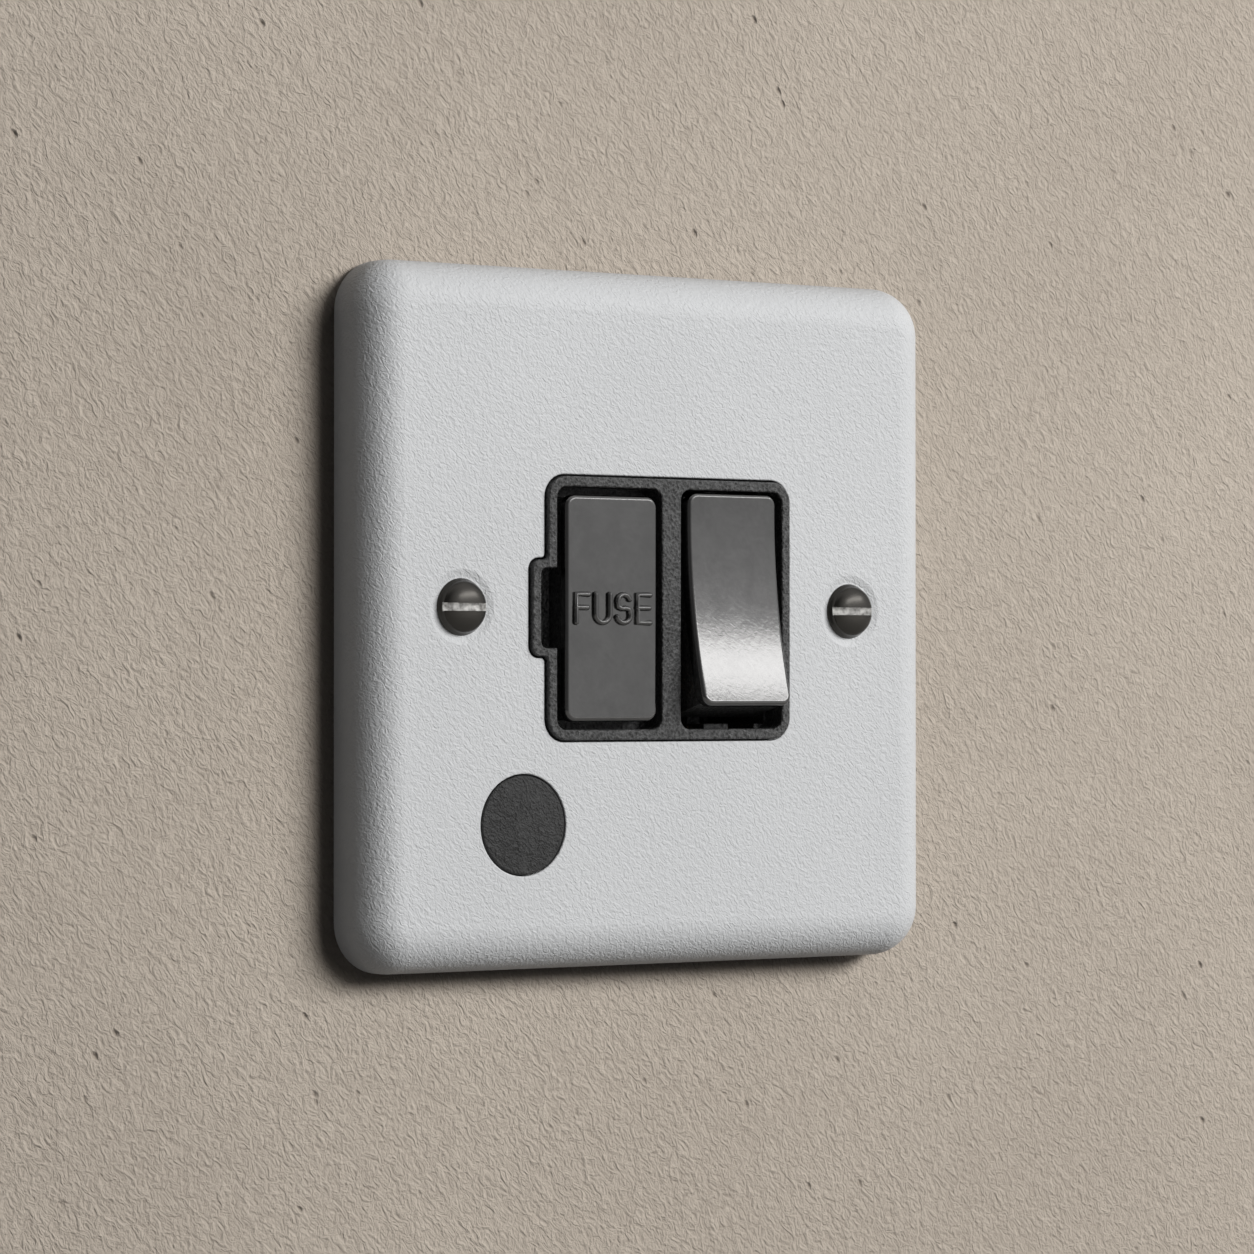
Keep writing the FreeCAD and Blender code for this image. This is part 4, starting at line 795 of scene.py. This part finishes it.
rocker_joint = next(j for j in frame["record"]["behaviour"]["joints"] if j["name"] == "rocker_pivot")
pivot = Matrix.Translation(rocker_joint["pos_m"])
half_swing = math.radians(max(rocker_joint["range_deg"])) / 2
turned_cap = pivot @ Matrix.Rotation(-half_swing, 4, "X") @ pivot.inverted()
level_points = [turned_cap.inverted() @ v.co for v in frame["nodes"]["rocker_cap"].data.vertices]
cap_low = Vector([min(p[axis] for p in level_points) for axis in range(3)])
cap_high = Vector([max(p[axis] for p in level_points) for axis in range(3)])
rocker_cap = pressed_face(
    "rocker_cap_pressed", cap_low, cap_high, FACE_CORNER, CAP_EDGE, CAP_SKIN, CAP_BOW, turned_cap
)
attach(rocker_cap, "rocker")
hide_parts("rocker_cap")

# %% [markdown]
# ## The raised word
# FUSE stands on the drawer's face in plain strokes with round backs. A font would need its
# outline filled and rounded, while a stroke is one curve with a round bevel, so each letter
# is drawn as a few lines and arcs in a box of its own, and sunk half into the face. The curve
# has flat ends, so a ball closes each of them.

# %% Draw the letters as strokes
WORD_WIDTH, WORD_HEIGHT, STROKE = 11.25 * MM, 3.5 * MM, 0.39 * MM
STROKE_RISE = 1.40
LETTER_WIDTHS = (1.85 * MM, 2.15 * MM, 2.05 * MM, 1.90 * MM)


def arc(centre, radii, start, end, steps):
    turns = [math.radians(start + (end - start) * i / steps) for i in range(steps + 1)]
    return [(centre[0] + radii[0] * math.cos(t), centre[1] + radii[1] * math.sin(t)) for t in turns]


LETTERS = [
    [[(0, 0), (0, 1), (1, 1)], [(0, 0.53), (0.9, 0.53)]],
    [[(0, 1), (0, 0.32)] + arc((0.5, 0.30), (0.5, 0.30), 180, 360, 16) + [(1, 0.32), (1, 1)]],
    [
        arc((0.5, 0.75), (0.46, 0.25), 20, 200, 14)
        + arc((0.5, 0.64), (0.46, 0.14), 200, 262, 5)
        + arc((0.5, 0.39), (0.48, 0.13), 82, 20, 5)
        + arc((0.5, 0.26), (0.5, 0.26), 18, -165, 14)
    ],
    [[(1, 1), (0, 1), (0, 0), (1, 0)], [(0, 0.53), (0.93, 0.53)]],
]

word_curve = bpy.data.curves.new("fuse_word", "CURVE")
word_curve.dimensions = "3D"
word_curve.bevel_depth = STROKE
word_curve.bevel_resolution = 5
word_curve.use_fill_caps = True
gap = (WORD_WIDTH - sum(LETTER_WIDTHS)) / 3
left = drawer_middle.x - WORD_WIDTH / 2
for letter, width in zip(LETTERS, LETTER_WIDTHS):
    for stroke in letter:
        spline = word_curve.splines.new("POLY")
        spline.points.add(len(stroke) - 1)
        for point, (u, v) in zip(spline.points, stroke):
            point.co = (left + u * width, drawer_low.y, (v - 0.5) * WORD_HEIGHT + drawer_middle.z, 1)
    left += width + gap
print("word is", round(WORD_WIDTH / MM, 2), "mm wide")

# %% Turn the strokes into one mesh with round ends
word_piece = bpy.data.objects.new("fuse_word", word_curve)
scene.collection.objects.link(word_piece)
bpy.context.view_layer.update()
depsgraph = bpy.context.evaluated_depsgraph_get()
word_mesh = bpy.data.meshes.new_from_object(word_piece.evaluated_get(depsgraph))
bpy.data.objects.remove(word_piece)
shape = bmesh.new()
shape.from_mesh(word_mesh)
for letter_stroke in word_curve.splines:
    for end in (letter_stroke.points[0], letter_stroke.points[-1]):
        bmesh.ops.create_icosphere(
            shape, subdivisions=3, radius=STROKE, matrix=Matrix.Translation(end.co.to_3d())
        )
for vertex in shape.verts:
    vertex.co.y = drawer_low.y + (vertex.co.y - drawer_low.y) * STROKE_RISE
bmesh.ops.recalc_face_normals(shape, faces=shape.faces)
for face in shape.faces:
    face.smooth = True
shape.to_mesh(word_mesh)
shape.free()
word_mesh.materials.clear()
word_mesh.materials.append(dark_nickel.material)
word_piece = bpy.data.objects.new("fuse_word", word_mesh)
scene.collection.objects.link(word_piece)
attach(word_piece, "fuse_drawer")
print("letters:", len(word_mesh.polygons), "faces")

# %% [markdown]
# ## Wall and floor
# The unit hangs on a pale plastered wall, with a square hole for the wall box behind it.
# Wall and floor are planes that show only one side, so views from behind and from below
# still see the object. The plaster is a trowelled ripple with sand and a few pits, whose
# hollows are painted darker as painted shade. A painted shadow darkens its colour in a band
# close to the plate, more so at the lower left, where least light reaches. Light that the wall
# throws on the object is dimmed by a darker colour, so that the plate's shaded side stays dark.


# %% Planes for the stage
SQUARE = ((-1, -1), (1, -1), (1, 1), (-1, 1))
plate_low, plate_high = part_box("faceplate")
plate_middle, plate_half = (plate_low + plate_high) / 2, (plate_high - plate_low) / 2


def stage_plane(name, corners, faces, finish):
    finish.one_sided()
    mesh = bpy.data.meshes.new(name)
    mesh.from_pydata(corners, [], faces)
    mesh.materials.append(finish.material)
    plane = bpy.data.objects.new(name, mesh)
    scene.collection.objects.link(plane)
    print(name, "has", len(corners), "corners")


# %% Plaster
WALL_LEAN = math.radians(-38.0)
TROWEL, SAND, TONE = 1.0 * MM, 0.40 * MM, 60 * MM
PIT_SIZE, PIT_CLOUD = 4.2 * MM, 9 * MM
PLASTER_DARK, PLASTER_LIGHT = (0.355, 0.303, 0.253, 1), (0.590, 0.522, 0.445, 1)
PLASTER_BUMP = 0.62 * MM

plaster = Finish("plaster", Roughness=0.92)
wall_lean = plaster.leaning(WALL_LEAN, 1.6)
trowel = plaster.noise(TROWEL, detail=3.0, roughness=0.6, place=wall_lean, distortion=1.2)
sand = plaster.noise(SAND, detail=2.0, place=wall_lean)
tone = plaster.noise(TONE, detail=4.0)
pit_depth = 1.0 - (plaster.cells(PIT_SIZE, plaster.leaning(WALL_LEAN, 1.5)) * 9.0).clamped()
pit_chance = ((plaster.noise(PIT_CLOUD, detail=1.0) - 0.45) * 8.0).clamped()
pits = pit_depth * pit_chance
plaster_height = trowel * 0.75 + sand * 0.25 - pits * 0.8
# The ripple's hollows and the pits are painted darker than its ridges, a painted shade in the hollows, on
# top of the plaster's own uneven tone.
plaster_tone_and_hollow_shade = (tone * 0.50 + (trowel - 0.5) * 0.9 + 0.25 - pits * 0.9).clamped()
plaster_colour = plaster.shade(plaster_tone_and_hollow_shade, PLASTER_DARK, PLASTER_LIGHT)
plaster.feed("Normal", plaster.bump(plaster_height, 1.0, PLASTER_BUMP))
print("plaster ready")

# %% Painted shadow round the plate
SHADE_REACH, SHADE_CORNER, SHADE_INSET = 4.2 * MM, 9.0 * MM, 2.0 * MM
SHADE_SHIFT = Vector((-3.4 * MM, 0.0, -2.4 * MM))
SHADE_COLOUR, SHADE_STRENGTH = (0.050, 0.043, 0.036, 1), 0.80
THROWN_BACK = grey(0.16, 0.04)

shade_half = (plate_half.x - SHADE_CORNER, 1.0, plate_half.z - SHADE_CORNER)
from_middle = plaster.vectors("SUBTRACT", plaster.place, tuple(plate_middle + SHADE_SHIFT))
beyond = plaster.vectors("SUBTRACT", plaster.vectors("ABSOLUTE", from_middle), shade_half)
beyond = plaster.vectors("MAXIMUM", beyond, (0.0, 0.0, 0.0))
distance = plaster.vectors("LENGTH", beyond) - SHADE_CORNER + SHADE_INSET
shade_share = 1.0 - (distance / SHADE_REACH).clamped()
painted_shadow = shade_share * shade_share * SHADE_STRENGTH
# The band is a painted shadow: the plate's shadow on the wall, painted into the plaster's colour, darkest at
# its left and lower edges.
plaster_colour = plaster.shade(painted_shadow, plaster_colour, SHADE_COLOUR)
plaster.feed("Base Color", plaster.shade(plaster.seen(), THROWN_BACK, plaster_colour))
print("shade ready")

# %% Hang the wall and lay the floor
WALL_REACH, WALL_BACK, HOLE_INSET = 2.5, 0.8 * MM, 2.4 * MM
FLOOR_REACH, FLOOR_LEVEL, FLOOR_CLOUD = 0.85, -0.115, 30 * MM

hole_x, hole_z = plate_half.x - HOLE_INSET, plate_half.z - HOLE_INSET
outside = [(x * WALL_REACH, WALL_BACK, z * WALL_REACH) for x, z in SQUARE]
inside = [(plate_middle.x + x * hole_x, WALL_BACK, plate_middle.z + z * hole_z) for x, z in SQUARE]
around_hole = [(i, (i + 1) % 4, (i + 1) % 4 + 4, i + 4) for i in range(4)]
stage_plane("wall", outside + inside, around_hole, plaster)

floor_finish = Finish("floor_finish", Roughness=0.85)
floor_tone = floor_finish.noise(FLOOR_CLOUD, detail=4.0)
floor_colour = floor_finish.shade(floor_tone, (0.74, 0.73, 0.71, 1), (0.80, 0.79, 0.77, 1))
floor_finish.feed("Base Color", floor_finish.shade(floor_finish.seen(), grey(0.10), floor_colour))
floor_corners = [(x * FLOOR_REACH, y * FLOOR_REACH, FLOOR_LEVEL) for x, y in SQUARE]
stage_plane("floor", floor_corners, [(0, 1, 2, 3)], floor_finish)

# %% [markdown]
# ## Lamps
# The key light comes from the right and above, which leaves the plate's left side dark. Two
# softboxes share its place: a strip that the metal mirrors as the bright patch low on the
# rocker, and a wide one that isn't mirrored, which lights the plate and the wall. A third
# behind the wall shows the housing to a camera there.

# %% Three softboxes
TO_KEY, TO_BACK = (0.535, -0.765, 0.358), (-0.35, 0.85, 0.45)
SOFTBOXES = (
    {"name": "key_strip", "way": TO_KEY, "far": 1.5, "size": (1.1, 0.19), "watts": 4.1, "mirrored": True},
    {"name": "key_wide", "way": TO_KEY, "far": 1.6, "size": (1.0, 0.5), "watts": 26.5, "mirrored": False},
    {"name": "back_fill", "way": TO_BACK, "far": 1.5, "size": (1.2, 1.2), "watts": 26, "mirrored": True},
)
for row in SOFTBOXES:
    data = bpy.data.lights.new(row["name"], "AREA")
    data.shape = "RECTANGLE"
    data.size, data.size_y = row["size"]
    data.energy = row["watts"]
    lamp = bpy.data.objects.new(row["name"], data)
    heading = Vector(row["way"]).normalized()
    lamp.location = heading * row["far"]
    lamp.rotation_euler = (-heading).to_track_quat("-Z", "Y").to_euler()
    lamp.visible_glossy = row["mirrored"]
    scene.collection.objects.link(lamp)
print("lamps:", [row["name"] for row in SOFTBOXES])

# %% [markdown]
# ## The room around
# Mirror rays see a room that is bright on the right and overhead and dim on the left, so
# that the metal faces and the raised word get edges. Camera rays see a pale backdrop, and
# the rest a dim sky.

# %% World
BRIGHT_WAY, UP = (0.62, -0.77, 0.12), (0.0, 0.0, 1.0)
PLAIN_SKY, BACKDROP = 0.08, 0.9
BACKDROP_COLOUR, WHITE = (0.93, 0.93, 0.92, 1), (1, 1, 1, 1)
ROOM_DIM, ROOM_LIGHT, ROOM_TOP, CEILING = 0.18, 0.72, 0.55, 0.55

world = bpy.data.worlds.new("studio")
scene.world = world
world.use_nodes = True
sky = Tree(world.node_tree)
sky.tree.nodes.clear()
heading = sky.node("ShaderNodeTexCoord", out="Generated")
bright_share = ((sky.vectors("DOT_PRODUCT", heading, BRIGHT_WAY) - 0.25) / 0.70).clamped()
upward = sky.vectors("DOT_PRODUCT", heading, UP)
top_light = (upward * 3.0).clamped() * ROOM_TOP + ROOM_LIGHT
ceiling = ((upward - 0.62) * 4.0).clamped() * CEILING
room = bright_share * bright_share * top_light + ceiling + ROOM_DIM

camera_rays = sky.node("ShaderNodeLightPath")
mirror_rays = camera_rays.beside("Is Glossy Ray")
plain_light, seen_light, mirrored_light = [
    sky.node("ShaderNodeBackground", None, {"Color": colour, "Strength": strength})
    for colour, strength in ((WHITE, PLAIN_SKY), (BACKDROP_COLOUR, BACKDROP), (WHITE, room))
]
first_mix = sky.node("ShaderNodeMixShader", None, {0: camera_rays, 1: plain_light, 2: seen_light})
second_mix = sky.node("ShaderNodeMixShader", None, {0: mirror_rays, 1: first_mix, 2: mirrored_light})
sky_out = sky.tree.nodes.new("ShaderNodeOutputWorld")
sky.tree.links.new(second_mix.socket, sky_out.inputs[0])
scene.view_settings.view_transform = "Standard"
print("world:", len(sky.tree.nodes), "nodes")
